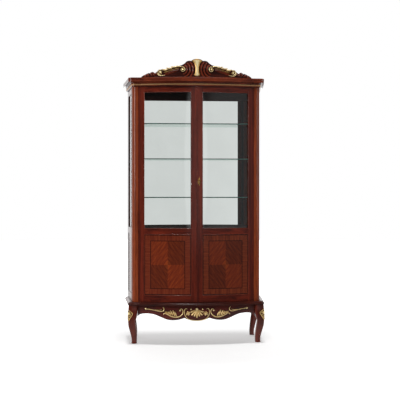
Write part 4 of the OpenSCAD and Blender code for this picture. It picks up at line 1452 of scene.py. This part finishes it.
@dataclass
class Crest:
    """The crest: a bowed carved board with gilt column, volutes and leaves.

    Heights are above the cornice.
    """

    foot_z: float = 2102.0
    out: float = 16.0
    thickness: float = 22.0
    outline: tuple[tuple[float, float], ...] = (
        (438, 0), (432, 10), (414, 19), (394, 29), (378, 35), (365, 33), (352, 44), (338, 36),
        (324, 34), (312, 46), (297, 61), (270, 61), (232, 67), (190, 78), (150, 88), (122, 94),
        (98, 108), (82, 123), (64, 129), (46, 129), (26, 138), (0, 141),
    )
    scroll: tuple[float, float] = (114.0, 59.0)  # eye of the inner volute and middle of the ridges
    ridge_arcs: tuple[tuple[float, float, float], ...] = (
        (37, 110, 264), (60, 125, 258), (83, 134, 250),  # radius, first and last direction
    )
    crown_z: float = 132.0
    crown_tone: float = 0.4  # the column's crown turns into the shade

    def board(self) -> Shape:
        """Saws the board and rounds its upper edge.

        Returns:
            The closed board.
        """
        right = sorted(spline(self.outline, 5))
        top = [(-x, z) for x, z in reversed(right)] + right[1:]
        front, back = self.out + self.thickness / 2, self.out - self.thickness / 2
        rings = []
        for x, rise in top:
            z = self.foot_z + max(rise, 0.6)
            edge = min(4.0, max(rise, 0.6) * 0.4)
            section = [
                (back, self.foot_z), (back, z - edge), (back + edge * 0.3, z - edge * 0.3),
                (back + edge, z), (front - edge, z), (front - edge * 0.3, z - edge * 0.3),
                (front, z - edge), (front, self.foot_z),
            ]
            rings.append([Vector((x, BOW.y(r, x), h)) for r, h in section])
        shape = Shape()
        shape.loft(rings)
        return shape

    def on_board(self) -> Place:
        """Gives a way to place (x, height above the cornice, height) on the board's face."""
        reach = self.out + self.thickness / 2
        return lambda x, z, height: Vector((x, BOW.y(reach + height, x), self.foot_z + z))

    def ridges(self) -> Shape:
        """Carves the C-shaped ridges beside the column and the leaves at the ends, in bare wood.

        Returns:
            The carving of both halves.
        """
        on = self.on_board()
        half = Shape()
        for radius, first, last in self.ridge_arcs:
            knots = []
            for s in range(13):
                a = math.radians(first + (last - first) * s / 12)
                x, z = self.scroll[0] + radius * math.cos(a), self.scroll[1] + radius * math.sin(a)
                taper = math.sin(math.pi * (s + 1.5) / 15)
                knots.append((x, z, 14 * (0.5 + 0.5 * taper), 2 + 6 * taper))
            half.add(strip(knots, Section.ROUND, on, 3))
        # dark leaf under the gilt one
        under = [
            (140, 58, 10, 3), (176, 48, 24, 5), (214, 36, 24, 5), (246, 24, 14, 4), (262, 16, 4, 2),
        ]
        half.add(strip(lobed(under, 4, 0.25), Section.VEINED, on, 1))
        # five dark leaves at the end, their tips bent a little downwards
        for x, z, turn, length in (
            (330, 12, 62, 36), (352, 10, 70, 34), (376, 8, 48, 30), (400, 5, 35, 24),
            (318, 16, 84, 26),
        ):
            dx, dz = math.cos(math.radians(turn)), math.sin(math.radians(turn))
            leaf = [
                (x, z, 8, 3), (x + dx * length * 0.5, z + dz * length * 0.5, 18, 6),
                (x + dx * length, z + dz * length * 0.9, 5, 3),
            ]
            half.add(strip(lobed(leaf, 2, 0.25), Section.VEINED, on, 1))
        return half.both_sides()

    def carving(self) -> Shape:
        """Carves the gilt column, volutes and leaves.

        Returns:
            The carving of both halves.
        """
        on = self.on_board()
        half = Shape()
        # inner volute, its band and the leaf to the outer volute
        half.add(volute(*self.scroll, 25, on, 70, 1.3, 6.5, 7.5, 7.5))
        band = [(124, 81, 8, 7), (142, 85, 9, 7), (166, 82, 8, 6), (196, 73, 7, 5), (230, 63, 6, 4)]
        half.add(strip(band, Section.ROUND, on, 5))
        # painted shade: the lower leaves of each wing are toned dark, the upper ones light
        for x, z, turn, length, width, tone in (
            (136, 73, -20, 58, 17, 0.3), (176, 62, -20, 58, 18, 0.3), (216, 48, -16, 50, 15, 0.35),
            (150, 84, -12, 46, 14, 0.9), (190, 73, -13, 44, 14, 0.95), (228, 60, -8, 40, 15, 1.0),
            (184, 80, 4, 22, 9, 0.9), (222, 70, 6, 20, 9, 0.95), (256, 58, 12, 20, 10, 1.0),
        ):
            leaf = ray(x, z, turn, (0, 5, 5), (length * 0.5, width, 7.5), (length, 3, 4))
            tuft = strip(lobed(leaf, 3, 0.3), Section.VEINED, on, 1)
            tuft.tones = [tone * t for t in tuft.tones]
            half.add(tuft)
        # outer volute with its tail
        half.add(volute(289, 38, 24, on, 118, -1.3, 6.5, 7.5, 7.5))
        tail = [(311, 34, 7, 6), (306, 20, 7, 6), (290, 13, 7, 6), (268, 13, 6, 5), (250, 17, 3, 3)]
        half.add(strip(tail, Section.ROUND, on, 5))
        whole = half.both_sides()
        # column: flared head, waist and spreading foot
        column = [
            (0, 8, 20, 6), (0, 12, 38, 8), (0, 18, 44, 9), (0, 26, 40, 9), (0, 42, 31, 9),
            (0, 64, 28, 9), (0, 84, 31, 9), (0, 102, 42, 9), (0, 113, 57, 9), (0, 122, 76, 9),
            (0, 128, 82, 8.5), (0, 133, 77, 8), (0, 137.5, 63, 7.5), (0, 140.8, 40, 7),
            (0, 142.4, 14, 6),
        ]
        post = strip(column, Section.ROUND, on, 5)
        post.tones = [
            tone * (self.crown_tone if point.z > self.foot_z + self.crown_z else 1.0)
            for tone, point in zip(post.tones, post.points)
        ]
        whole.add(post)
        return whole

    def build(self, finishes: Finishes) -> None:
        """Builds the board, its ridges and the gilt carving.

        Args:
            finishes: the cabinet's finishes.
        """
        self.board().build(
            "shaped_crest_board", finishes.ground, "carcass", "dark_mahogany", ("crest_board",), 50
        )
        self.ridges().build("carved_crest_ridges", finishes.crest, "carcass", "dark_mahogany")
        self.carving().build(
            "gilt_crest_carving", finishes.gold, "carcass", "gilding", ("crest_carving",)
        )


# ---------- posts ----------


@dataclass
class CornerPost:
    """Rounded front post, plain at its foot and head, with two flutes down its shaft."""

    front: tuple[float, float] = (461.0, 0.0)
    side: tuple[float, float] = (508.5, 35.0)
    rest: tuple[tuple[float, float], ...] = ((514.9, 88.0), (492.7, 88.0), (461.0, 42.0))
    low: float = 332.0
    high: float = 2035.5
    foot_h: float = 86.0
    head_h: float = 64.0
    flutes: tuple[tuple[float, float, float], ...] = ((24.5, 3.8, 3.2), (61.0, 4.6, 3.2))
    steps: int = 75

    def cut(self, turn: float) -> float:
        """Gives the depth of the flutes at an angle round the post.

        Args:
            turn: angle round the post in degrees, from the front.

        Returns:
            The depth.
        """
        return sum(
            depth * math.sqrt(1 - ((turn - middle) / half) ** 2)
            for middle, half, depth in self.flutes if abs(turn - middle) < half
        )

    def ring(self, z: float, fluted: float) -> list[Vector]:
        """Gives the post's plan at height z, from plain (0) to fluted (1).

        Args:
            z: height above the floor.
            fluted: share of the flutes' depth.

        Returns:
            The outline's points in order.
        """
        wide, deep = self.side[0] - self.front[0], self.side[1] - self.front[1]
        ring = []
        for k in range(self.steps + 1):
            turn = 90 * k / self.steps
            across, away = math.sin(math.radians(turn)), math.cos(math.radians(turn))
            inward = Vector((-across / wide, away / deep, 0.0)).normalized()
            point = Vector((self.front[0] + wide * across, self.side[1] - deep * away, z))
            ring.append(point + inward * self.cut(turn) * fluted)
        return ring + [Vector((x, y, z)) for x, y in self.rest]

    def build(self, finishes: Finishes) -> None:
        """Builds both posts.

        Args:
            finishes: the cabinet's finishes.
        """
        foot, head = self.low + self.foot_h, self.high - self.head_h
        heights = [
            (self.low, 0), (foot - 2, 0), (foot, 0.6), (foot + 3, 1), (head - 3, 1), (head, 0.6),
            (head + 2, 0), (self.high, 0),
        ]
        post = Shape()
        post.loft([self.ring(z, fluted) for z, fluted in heights])
        for name, flip in (("corner_post_right", False), ("corner_post_left", True)):
            side = Shape()
            side.add(post, flip=flip)
            side.build(f"fluted_{name}", finishes.post, "carcass", "mahogany", (name,), 34)


@dataclass
class GapShadeStrips:
    """Thin strips that close the gaps of the doors.

    Two stand on the posts behind the hinge edges, and one on the left door's free edge. They are
    dull and dark: painted shade set where the gaps would be in shade.
    """

    post_x: tuple[float, float] = (441.0, 461.2)
    post_y: tuple[float, float] = (26.2, 29.6)
    post_z: tuple[float, float] = (334.0, 2035.3)
    meeting_x: tuple[float, float] = (-1.0, 0.6)
    meeting_y: tuple[float, float] = (-62.7, -57.5)
    meeting_z: tuple[float, float] = (335.0, 2033.0)

    def lath(self, x: tuple[float, float], y: tuple[float, float], z: tuple[float, float]) -> Shape:
        """Saws one strip.

        Args:
            x: its left and right faces.
            y: its front and back faces.
            z: its ends.

        Returns:
            The closed strip.
        """
        plan = ((x[0], y[0]), (x[1], y[0]), (x[1], y[1]), (x[0], y[1]))
        shape = Shape()
        shape.loft([[Vector((across, away, end)) for across, away in plan] for end in z])
        return shape

    def build(self, finishes: Finishes) -> None:
        """Builds the strips on the posts and the one on the left door.

        Args:
            finishes: the cabinet's finishes.
        """
        # painted shade: dull dark strips fill the door gaps, where there is only shade
        meeting = self.lath(self.meeting_x, self.meeting_y, self.meeting_z)
        meeting.build("meeting_gap_shade_strip", finishes.inside, "left_door", "dark_mahogany")
        hinge = self.lath(self.post_x, self.post_y, self.post_z)
        hinge.both_sides().build("gap_shade_strips", finishes.inside, "carcass", "dark_mahogany")


@dataclass
class SideLights:
    """The thick bevelled middle of each side pane, which stands forward of its rebated edge."""

    front_y: float = 88.6
    back_y: float = 315.4
    low: float = 916.0
    high: float = 1988.0
    recess: float = 4.0
    seat: float = 9.8
    bevel: float = 3.0
    corner: tuple[float, float] = (508.5, 35.0)  # where the side starts, at the post
    slope: float = 39.5 / 327  # how far the side runs outwards for each millimetre backwards

    def face_x(self, y: float, depth: float) -> float:
        """Gives the side's x at a distance behind the doors and a depth below the face."""
        x, front = self.corner
        return x + self.slope * (y - front) - depth * math.sqrt(1 + self.slope * self.slope)

    def ring(self, depth: float, inset: float) -> list[Vector]:
        """Gives the pane's outline at one depth.

        Args:
            depth: how far behind the side's face.
            inset: how far the outline stands in from the opening.

        Returns:
            The four corners, from the front at the bottom.
        """
        y0, y1 = self.front_y + inset, self.back_y - inset
        z0, z1 = self.low + inset, self.high - inset
        return [
            Vector((self.face_x(y, depth), y, z))
            for y, z in ((y0, z0), (y1, z0), (y1, z1), (y0, z1))
        ]

    def build(self, finishes: Finishes) -> None:
        """Builds both panes.

        Args:
            finishes: the cabinet's finishes.
        """
        pane = Shape()
        levels = ((self.seat, 0.0), (self.recess + 1, 0.0), (self.recess, self.bevel))
        pane.loft([self.ring(depth, inset) for depth, inset in levels])
        pane.both_sides().build(
            "bevelled_side_lights", finishes.side_glass, "carcass", "glass", (), 20
        )


# ---------- doors ----------


@dataclass
class Door:
    """Trim of one bowed door: a fine moulding round its pane and one round its panel."""

    name: str
    side: int
    inner_x: float = 46.6
    outer_x: float = 412.0
    glass: tuple[float, float] = (915.5, 1988.5)
    panel: tuple[float, float] = (388.5, 866.0)
    pane_depth: float = 10.0
    panel_depth: float = 3.0
    proud: float = 1.1
    width: float = 3.4

    def frame(self, low: float, high: float, deep: float) -> Shape:
        """Runs a quarter-round moulding round one opening.

        Args:
            low: bottom of the opening.
            high: top of the opening.
            deep: how far behind the door face the moulding ends.

        Returns:
            The four mitred lengths.
        """
        crown = [
            (0.6 - self.width / 2 * (1 + math.cos(a)), -0.3 + (self.proud + 0.3) * math.sin(a))
            for a in (math.pi * k / 8 for k in range(9))
        ]
        profile = crown + [(0.6, -deep), (0.0, -deep), (-0.2, -0.6)]
        shape = Shape()
        steps = 14
        level = [self.inner_x + (self.outer_x - self.inner_x) * s / steps for s in range(steps + 1)]

        def corner(x: float, d: float) -> float:
            """Moves a point of a level length inwards for its mitre.

            Args:
                x: the point's place on the opening's edge.
                d: its place across the moulding.

            Returns:
                Where the point stands.
            """
            share = (x - self.inner_x) / (self.outer_x - self.inner_x)
            return x + d * (1 - 2 * share)

        for z, turn in ((high, -1), (low, 1)):
            shape.loft([
                [
                    Vector((self.side * corner(x, d), BOW.y(h, corner(x, d)), z + turn * d))
                    for d, h in profile
                ]
                for x in level
            ])
        for x, turn in ((self.inner_x, 1), (self.outer_x, -1)):
            shape.loft([
                [
                    Vector((self.side * (x + turn * d), BOW.y(h, x + turn * d), z + way * d))
                    for d, h in profile
                ]
                for z, way in ((low, 1), (high, -1))
            ])
        return shape

    def build(self, finishes: Finishes) -> None:
        """Builds both mouldings.

        Args:
            finishes: the cabinet's finishes.
        """
        moulding = self.frame(*self.glass, self.pane_depth)
        moulding.add(self.frame(*self.panel, self.panel_depth))
        piece = moulding.build(
            f"{self.name}_sight_moulding", finishes.moulding, self.name, "mahogany", (), 40
        )
        piece.visible_glossy = False


@dataclass
class MirrorRail:
    """Dark moulded rail that covers the top edge of the mirror."""

    low: float = 1962.0
    high: float = 2035.3
    half_length: float = 499.0
    face_y: float = 327.0
    mirror_y: float = 337.8

    def build(self, finishes: Finishes) -> None:
        """Builds the rail.

        Args:
            finishes: the cabinet's finishes.
        """
        face, low = self.face_y, self.low
        profile = [
            (self.mirror_y, low), (face + 4, low), (face + 1.2, low + 1.2), (face, low + 4),
            (face + 1.5, low + 8), (face + 1.5, low + 12), (face, low + 16), (face, self.high),
            (self.mirror_y, self.high),
        ]
        shape = Shape()
        ends = (-self.half_length, self.half_length)
        shape.loft([[Vector((x, y, z)) for y, z in profile] for x in ends])
        shape.build("mirror_head_rail", finishes.inside, "carcass", "dark_mahogany", (), 40)


@dataclass
class GlassShelves:
    """Three glass shelves with polished edges, cut to clear the posts."""

    tops: tuple[tuple[str, float], ...] = (
        ("glass_shelf_upper", 1750.0), ("glass_shelf_middle", 1469.0), ("glass_shelf_lower", 1162.0)
    )
    thickness: float = 8.0
    front_y: float = 30.0
    back_y: float = 335.0
    arris: float = 1.2
    half_plan: tuple[tuple[float, float], ...] = (
        (458.0, 30.0), (458.0, 43.5), (489.7, 89.5), (513.4, 316.0), (505.0, 316.0), (505.0, 335.0),
    )

    def ring(self, z: float, inset: float) -> list[Vector]:
        """Gives the shelf's outline at height z, inset for the ground arris.

        Args:
            z: height above the floor.
            inset: how far the outline is drawn in.

        Returns:
            The outline's points in order.
        """
        middle = (self.front_y + self.back_y) / 2
        right = [
            Vector((x - inset, y + (inset if y < middle else -inset), z)) for x, y in self.half_plan
        ]
        return right + [Vector((-p.x, p.y, z)) for p in reversed(right)]

    def build(self, finishes: Finishes) -> None:
        """Builds the shelves: clear above and below, green at the edges.

        Args:
            finishes: the cabinet's finishes.
        """
        for name, top in self.tops:
            low, arris = top - self.thickness, self.arris
            levels = ((low, arris), (low + arris, 0.0), (top - arris, 0.0), (top, arris))
            shape = Shape()
            shape.loft([self.ring(z, inset) for z, inset in levels])
            shelf = shape.build(
                f"polished_{name}", finishes.shelf_glass, "carcass", "glass", (name,), 20
            )
            shelf.data.materials.append(finishes.glass_edge)
            for face in shelf.data.polygons:
                face.material_index = 0 if abs(face.normal.z) > 0.9 or face.normal.y > 0.5 else 1
            shelf.visible_glossy = False


@dataclass
class Escutcheon:
    """A small cast keyhole plate: scrolled cartouche with a leaf above and below."""

    x: float = 18.0
    z: float = 1283.0

    def place(self) -> Place:
        """Gives a way to place (x, z, height) on the door face, measured from the keyhole."""
        on = BOW.on(0.0)
        return lambda x, z, height: on(self.x + x, self.z + z, height)

    def build(self, finishes: Finishes) -> None:
        """Builds the plate.

        Args:
            finishes: the cabinet's finishes.
        """
        on = self.place()
        shape = Shape()
        ring = [
            (6.2 * math.cos(a), 7.0 * math.sin(a), 5.2, 2.0)
            for a in (math.pi * k / 8 for k in range(17))
        ]
        shape.add(strip(ring, Section.ROUND, on, 2))
        for side, turn in ((1, 1), (-1, 1), (1, -1), (-1, -1)):
            scroll = [
                (4 * side, 8 * turn, 4, 1.4), (8.5 * side, 10.5 * turn, 3.6, 2),
                (9.4 * side, 15 * turn, 3, 2), (6.8 * side, 17.5 * turn, 3, 1.8),
                (5 * side, 14.8 * turn, 2.2, 1.4),
            ]
            shape.add(strip(scroll, Section.ROUND, on, 4))
            ear = [
                (6 * side, 3 * turn, 3, 1.2), (10.2 * side, 4.6 * turn, 3, 1.7),
                (11 * side, 1.2 * turn, 2, 1.2),
            ]
            shape.add(strip(ear, Section.ROUND, on, 4))
        for turn in (1, -1):
            leaf = [
                (0, 8 * turn, 5, 1.6), (0, 14 * turn, 8, 2.2), (0, 20 * turn, 7, 2.2),
                (0, 27 * turn, 5, 2.2), (0, 34 * turn, 1.2, 1.2),
            ]
            shape.add(strip(leaf, Section.VEINED, on, 4))
        shape.build(
            "cast_escutcheon", finishes.old_brass, "right_door", "brass", ("escutcheon",), 45
        )


# ---------- parts taken over from the cabinet's source ----------


def soften(node: bpy.types.Object, width_mm: float = 0.8) -> None:
    """Rounds a part's sharp edges a little, as sanding and lacquer do.

    Args:
        node: the part.
        width_mm: width of the rounding.
    """
    mesh = node.data
    mesh.polygons.foreach_set("use_smooth", [True] * len(mesh.polygons))
    weld = node.modifiers.new("weld", "WELD")
    weld.merge_threshold = WELD_MM * MM
    bevel = node.modifiers.new("arris", "BEVEL")
    bevel.width, bevel.segments, bevel.limit_method = width_mm * MM, 2, "ANGLE"
    bevel.angle_limit, bevel.harden_normals = math.radians(ARRIS_DEG), True
    node.modifiers.new("shading", "WEIGHTED_NORMAL").keep_sharp = True


# ---------- studio ----------


@dataclass(frozen=True)
class Softbox:
    """A rectangular soft light that faces the cabinet."""

    name: str
    x: float
    y: float
    z: float
    width: float
    height: float
    power: float
    aim_z: float = 1.1

    def place(self, spared: bpy.types.Collection) -> None:
        """Adds the light, facing the cabinet.

        Args:
            spared: what the light passes over.
        """
        light = bpy.data.lights.new(self.name, "AREA")
        light.shape = "RECTANGLE"
        light.size, light.size_y, light.energy = self.width, self.height, self.power
        holder = bpy.data.objects.new(self.name, light)
        bpy.context.scene.collection.objects.link(holder)
        holder.location = (self.x, self.y, self.z)
        aim = Vector((0.0, 0.0, self.aim_z)) - holder.location
        holder.rotation_euler = aim.to_track_quat("-Z", "Y").to_euler()
        holder.light_linking.receiver_collection = spared


@dataclass
class Studio:
    """A white studio: pale floor, bright room behind, softboxes in front, and the camera."""

    lens_mm: float = 73.735
    camera_x: float = -0.4426
    camera_y: float = -6.62425
    camera_z: float = 1.2011
    turn_deg: float = 3.7426
    shift_x: float = 0.014675
    shift_y: float = -0.0199
    floor_radius: float = 14.0
    # The room round the cabinet: places from behind it (0) to before it (1), with their tones.
    room: tuple[tuple[float, float], ...] = ((0.14, 1.0), (0.3, 0.32), (0.5, 0.14), (0.7, 0.05))
    card_toward: tuple[float, float, float] = (0.06, -1.0, 0.035)
    card_deg: tuple[float, float] = (7.6, 6.0)  # where the bright card starts and where it is full
    card_tone: float = 0.85
    wall_heading_deg: float = 26.0  # from straight in front towards the right
    wall_deg: tuple[float, float] = (21.0, 10.0)  # where the grey wall starts and where it is full
    wall_tone: float = 0.34  # the right door's glass mirrors this wall
    floor_glow: float = 0.42  # painted glow of the floor round the feet, weaker than further out
    shadow_reach: tuple[float, float] = (0.9, 2.2)  # where the painted glow brightens, and where it is full
    floor_bounce: tuple[float, float] = (0.10, 0.85)  # painted glow that stands in for light off the floor, front and back
    bounce_y: tuple[float, float] = (-1.6, -0.4)  # the places it rises between
    top_strength: float = 1.4
    top_angle_deg: float = 9.0
    top_tilt_deg: float = 5.0
    softboxes: tuple[Softbox, ...] = (
        Softbox("key from the left", -4.4, -2.7, 2.5, 0.9, 2.6, 165.0),
        Softbox("fill from the right", 4.7, -1.9, 2.0, 0.9, 2.6, 68.0),
        Softbox("overhead", 0.0, -2.4, 5.0, 3.0, 1.6, 85.0),
    )

    def build(self) -> None:
        """Adds the camera, the surroundings, the lights and the floor."""
        scene = bpy.context.scene
        scene.view_settings.view_transform = "Standard"
        camera = bpy.data.cameras.new("camera")
        camera.lens, camera.sensor_width = self.lens_mm, 36.0
        camera.shift_x, camera.shift_y = self.shift_x, self.shift_y
        holder = bpy.data.objects.new("camera", camera)
        scene.collection.objects.link(holder)
        holder.location = (self.camera_x, self.camera_y, self.camera_z)
        holder.rotation_euler = (math.radians(90), 0.0, math.radians(-self.turn_deg))
        scene.camera = holder
        self.surroundings()
        spared = bpy.data.collections.new("passed over by the side lights")
        spared.objects.link(self.floor())
        spared.collection_objects[0].light_linking.link_state = "EXCLUDE"
        for softbox in self.softboxes:
            softbox.place(spared)
        self.top_light()

    def top_light(self) -> None:
        """Adds the light from the ceiling that draws the shadow under the cabinet."""
        light = bpy.data.lights.new("ceiling", "SUN")
        light.energy, light.angle = self.top_strength, math.radians(self.top_angle_deg)
        holder = bpy.data.objects.new("ceiling", light)
        bpy.context.scene.collection.objects.link(holder)
        holder.location = (0.0, 0.0, 6.0)
        holder.rotation_euler = (math.radians(self.top_tilt_deg), 0.0, 0.0)

    def surroundings(self) -> None:
        """Fills the world: white behind, dim in front, with a bright card and a grey wall."""
        world = bpy.data.worlds.new("studio")
        bpy.context.scene.world = world
        world.use_nodes = True
        tree = world.node_tree
        tree.nodes.clear()
        where = add_node(tree, "ShaderNodeTexCoord")
        toward = Vector(self.card_toward).normalized()
        facing = add_node(
            tree,
            "ShaderNodeVectorMath",
            {"operation": "DOT_PRODUCT", 1: tuple(toward)},
            {0: where.outputs["Generated"]},
        )
        share = add_node(
            tree,
            "ShaderNodeMath",
            {"operation": "MULTIPLY_ADD", 1: 0.5, 2: 0.5},
            {0: facing.outputs["Value"]},
        )
        walls = add_node(
            tree,
            "ShaderNodeValToRGB",
            {"stops": [(place, (tone,) * 3 + (1.0,)) for place, tone in self.room]},
            {"Fac": share.outputs[0]},
        )
        edge, full = (math.cos(math.radians(d)) for d in self.card_deg)
        on_card = add_node(
            tree,
            "ShaderNodeMapRange",
            {"From Min": edge, "From Max": full, "interpolation_type": "SMOOTHSTEP"},
            {"Value": facing.outputs["Value"]},
        )
        lit = add_node(
            tree,
            "ShaderNodeMix",
            {"data_type": "RGBA", 7: (self.card_tone,) * 3 + (1.0,)},
            {0: on_card.outputs[0], 6: walls.outputs[0]},
        )
        heading = math.radians(self.wall_heading_deg)
        beside = add_node(
            tree,
            "ShaderNodeVectorMath",
            {"operation": "DOT_PRODUCT", 1: (math.sin(heading), -math.cos(heading), 0.0)},
            {0: where.outputs["Generated"]},
        )
        wall_edge, wall_full = (math.cos(math.radians(d)) for d in self.wall_deg)
        on_wall = add_node(
            tree,
            "ShaderNodeMapRange",
            {
                "From Min": wall_edge, "From Max": wall_full, "To Max": self.wall_tone,
                "interpolation_type": "SMOOTHSTEP",
            },
            {"Value": beside.outputs["Value"]},
        )
        lit = add_node(
            tree,
            "ShaderNodeMix",
            {"data_type": "RGBA", "blend_type": "ADD", 0: 1.0},
            {6: lit.outputs[2], 7: on_wall.outputs[0]},
        )
        seen = add_node(tree, "ShaderNodeLightPath")
        sky = add_node(
            tree,
            "ShaderNodeMix",
            {"data_type": "RGBA", 7: (1.0,) * 4},
            {0: seen.outputs["Is Camera Ray"], 6: lit.outputs[2]},
        )
        light = add_node(tree, "ShaderNodeBackground", {"Strength": 1.0}, {"Color": sky.outputs[2]})
        add_node(tree, "ShaderNodeOutputWorld", None, {"Surface": light.outputs[0]})

    def floor(self) -> bpy.types.Object:
        """Adds the pale floor, which glows though it is no lamp: its painted glow is weaker round
        the feet, so that the shadows show there, and all rays but the camera's see a glow that
        stands in for light off it.

        Returns:
            The floor.
        """
        mesh = bpy.data.meshes.new("floor")
        builder = bmesh.new()
        bmesh.ops.create_circle(builder, cap_ends=True, segments=96, radius=self.floor_radius)
        builder.to_mesh(mesh)
        builder.free()
        floor = bpy.data.objects.new("floor", mesh)
        bpy.context.scene.collection.objects.link(floor)
        material, tree = start_material("white studio floor with a painted glow")
        where = add_node(tree, "ShaderNodeTexCoord")
        reach = add_node(
            tree, "ShaderNodeVectorMath", {"operation": "LENGTH"}, {0: where.outputs["Object"]}
        )
        # painted light: the floor glows, less near the cabinet than further out
        glow = add_node(
            tree,
            "ShaderNodeMapRange",
            {
                "From Min": self.shadow_reach[0], "From Max": self.shadow_reach[1],
                "To Min": self.floor_glow, "To Max": 1.0,
            },
            {"Value": reach.outputs["Value"]},
        )
        surface = add_node(
            tree,
            "ShaderNodeBsdfPrincipled",
            {
                "Base Color": (0.9, 0.9, 0.9, 1), "Roughness": 0.9, "Specular IOR Level": 0.0,
                "Emission Color": (1.0,) * 4,
            },
            {"Emission Strength": glow.outputs[0]},
        )
        split = add_node(tree, "ShaderNodeSeparateXYZ", None, {0: where.outputs["Object"]})
        tone = add_node(
            tree,
            "ShaderNodeMapRange",
            {
                "From Min": self.bounce_y[0], "From Max": self.bounce_y[1],
                "To Min": self.floor_bounce[0], "To Max": self.floor_bounce[1],
            },
            {"Value": split.outputs[1]},
        )
        # painted light: for all rays but the camera's the floor glows, brighter behind than in
        # front, standing in for light off the floor
        bounce = add_node(
            tree, "ShaderNodeEmission", {"Color": (1.0,) * 4}, {"Strength": tone.outputs[0]}
        )
        seen = add_node(tree, "ShaderNodeLightPath")
        look = add_node(
            tree,
            "ShaderNodeMixShader",
            None,
            {0: seen.outputs["Is Camera Ray"], 1: bounce.outputs[0], 2: surface.outputs[0]},
        )
        add_node(tree, "ShaderNodeOutputMaterial", None, {"Surface": look.outputs[0]})
        mesh.materials.append(material)
        return floor


# ---------- main ----------


# The mirror shows the lit studio clear of the parts that stand right before it.
UNSEEN_IN_MIRROR = (
    "left_door_meeting_stile", "right_door_meeting_stile", "left_door_beads", "right_door_beads",
    "left_door_rails", "right_door_rails", "left_door_glass", "right_door_glass", "shelf_pins",
    "bolt_guides", "top_bolt", "bottom_bolt", "lock_strike", "lock_case", "lock_bolt",
    "lock_follower",
)


def dress_nodes(nodes: dict[str, bpy.types.Object], finishes: Finishes) -> None:
    """Gives every CAD node its finish.

    Args:
        nodes: the CAD nodes by name.
        finishes: the cabinet's finishes.
    """
    look = {
        "inside": "display_floor back_boards back_rails cornice_panel top_board",
        "upright": "front_leg_left front_leg_right left_door_outer_stile left_door_meeting_stile"
        " right_door_outer_stile right_door_meeting_stile left_door_beads right_door_beads"
        " side_beads",
        "post": "corner_post_left corner_post_right",
        "level": "front_apron cornice_front left_door_rails right_door_rails",
        "deep": "side_aprons base_moulding_sides side_rails_left side_rails_right cornice_sides"
        " side_panels",
        "dark_level": "rear_rail base_board base_moulding_front crest_board",
        "dark_upright": "rear_legs rear_posts",
        "plain": "corner_blocks wooden_shelf",
        "gold": "knee_carvings apron_carving cornice_gilt_bead crest_carving",
        "brass": "shelf_pins pivot_sockets left_door_pivots right_door_pivots bolt_guides top_bolt"
        " bottom_bolt lock_strike lock_case",
        "old_brass": "escutcheon",
        "steel": "foot_glides lock_follower lock_bolt",
        "glass": "side_glass left_door_glass right_door_glass glass_shelf_upper glass_shelf_middle"
        " glass_shelf_lower",
        "mirror": "mirror_glass",
    }
    for finish, names in look.items():
        for name in names.split():
            mesh = nodes[name].data
            mesh.materials.clear()
            mesh.materials.append(getattr(finishes, finish))
            if finish not in ("glass", "mirror"):
                soften(nodes[name])
    for name in UNSEEN_IN_MIRROR:
        nodes[name].visible_glossy = False
    # painted shade: the right door's veneer is drawn darker than the left's, as it gets less of the
    # key light
    right_door_shade = {"light": "#7c3416", "mid": "#682713", "dark": "#501d10", "border": "#72311a"}
    for name, side, tones in (("left_door_panel", -1, {}), ("right_door_panel", 1, right_door_shade)):
        mesh = nodes[name].data
        mesh.materials.clear()
        veneer = QuarterVeneer(
            f"quartered mahogany veneer, {name}",
            centre_x=side * 229.3,
            centre_z=627.25,
            half_w=134.0,
            half_h=188.0,
            **tones,
        )
        mesh.materials.append(veneer.material())


def main() -> None:
    """Builds the studio and dresses the cabinet."""
    logging.basicConfig(level=logging.INFO, format="%(name)s: %(message)s")
    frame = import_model()
    finishes = Finishes()
    Studio().build()
    dress_nodes(frame["nodes"], finishes)
    pieces = (
        Leg(), Apron(), Cornice(), BaseMoulding(), Crest(), CornerPost(), GapShadeStrips(),
        SideLights(), Door("left_door", -1), Door("right_door", 1), MirrorRail(), GlassShelves(),
        Escutcheon(),
    )
    for piece in pieces:
        piece.build(finishes)


if __name__ == "__main__":
    main()
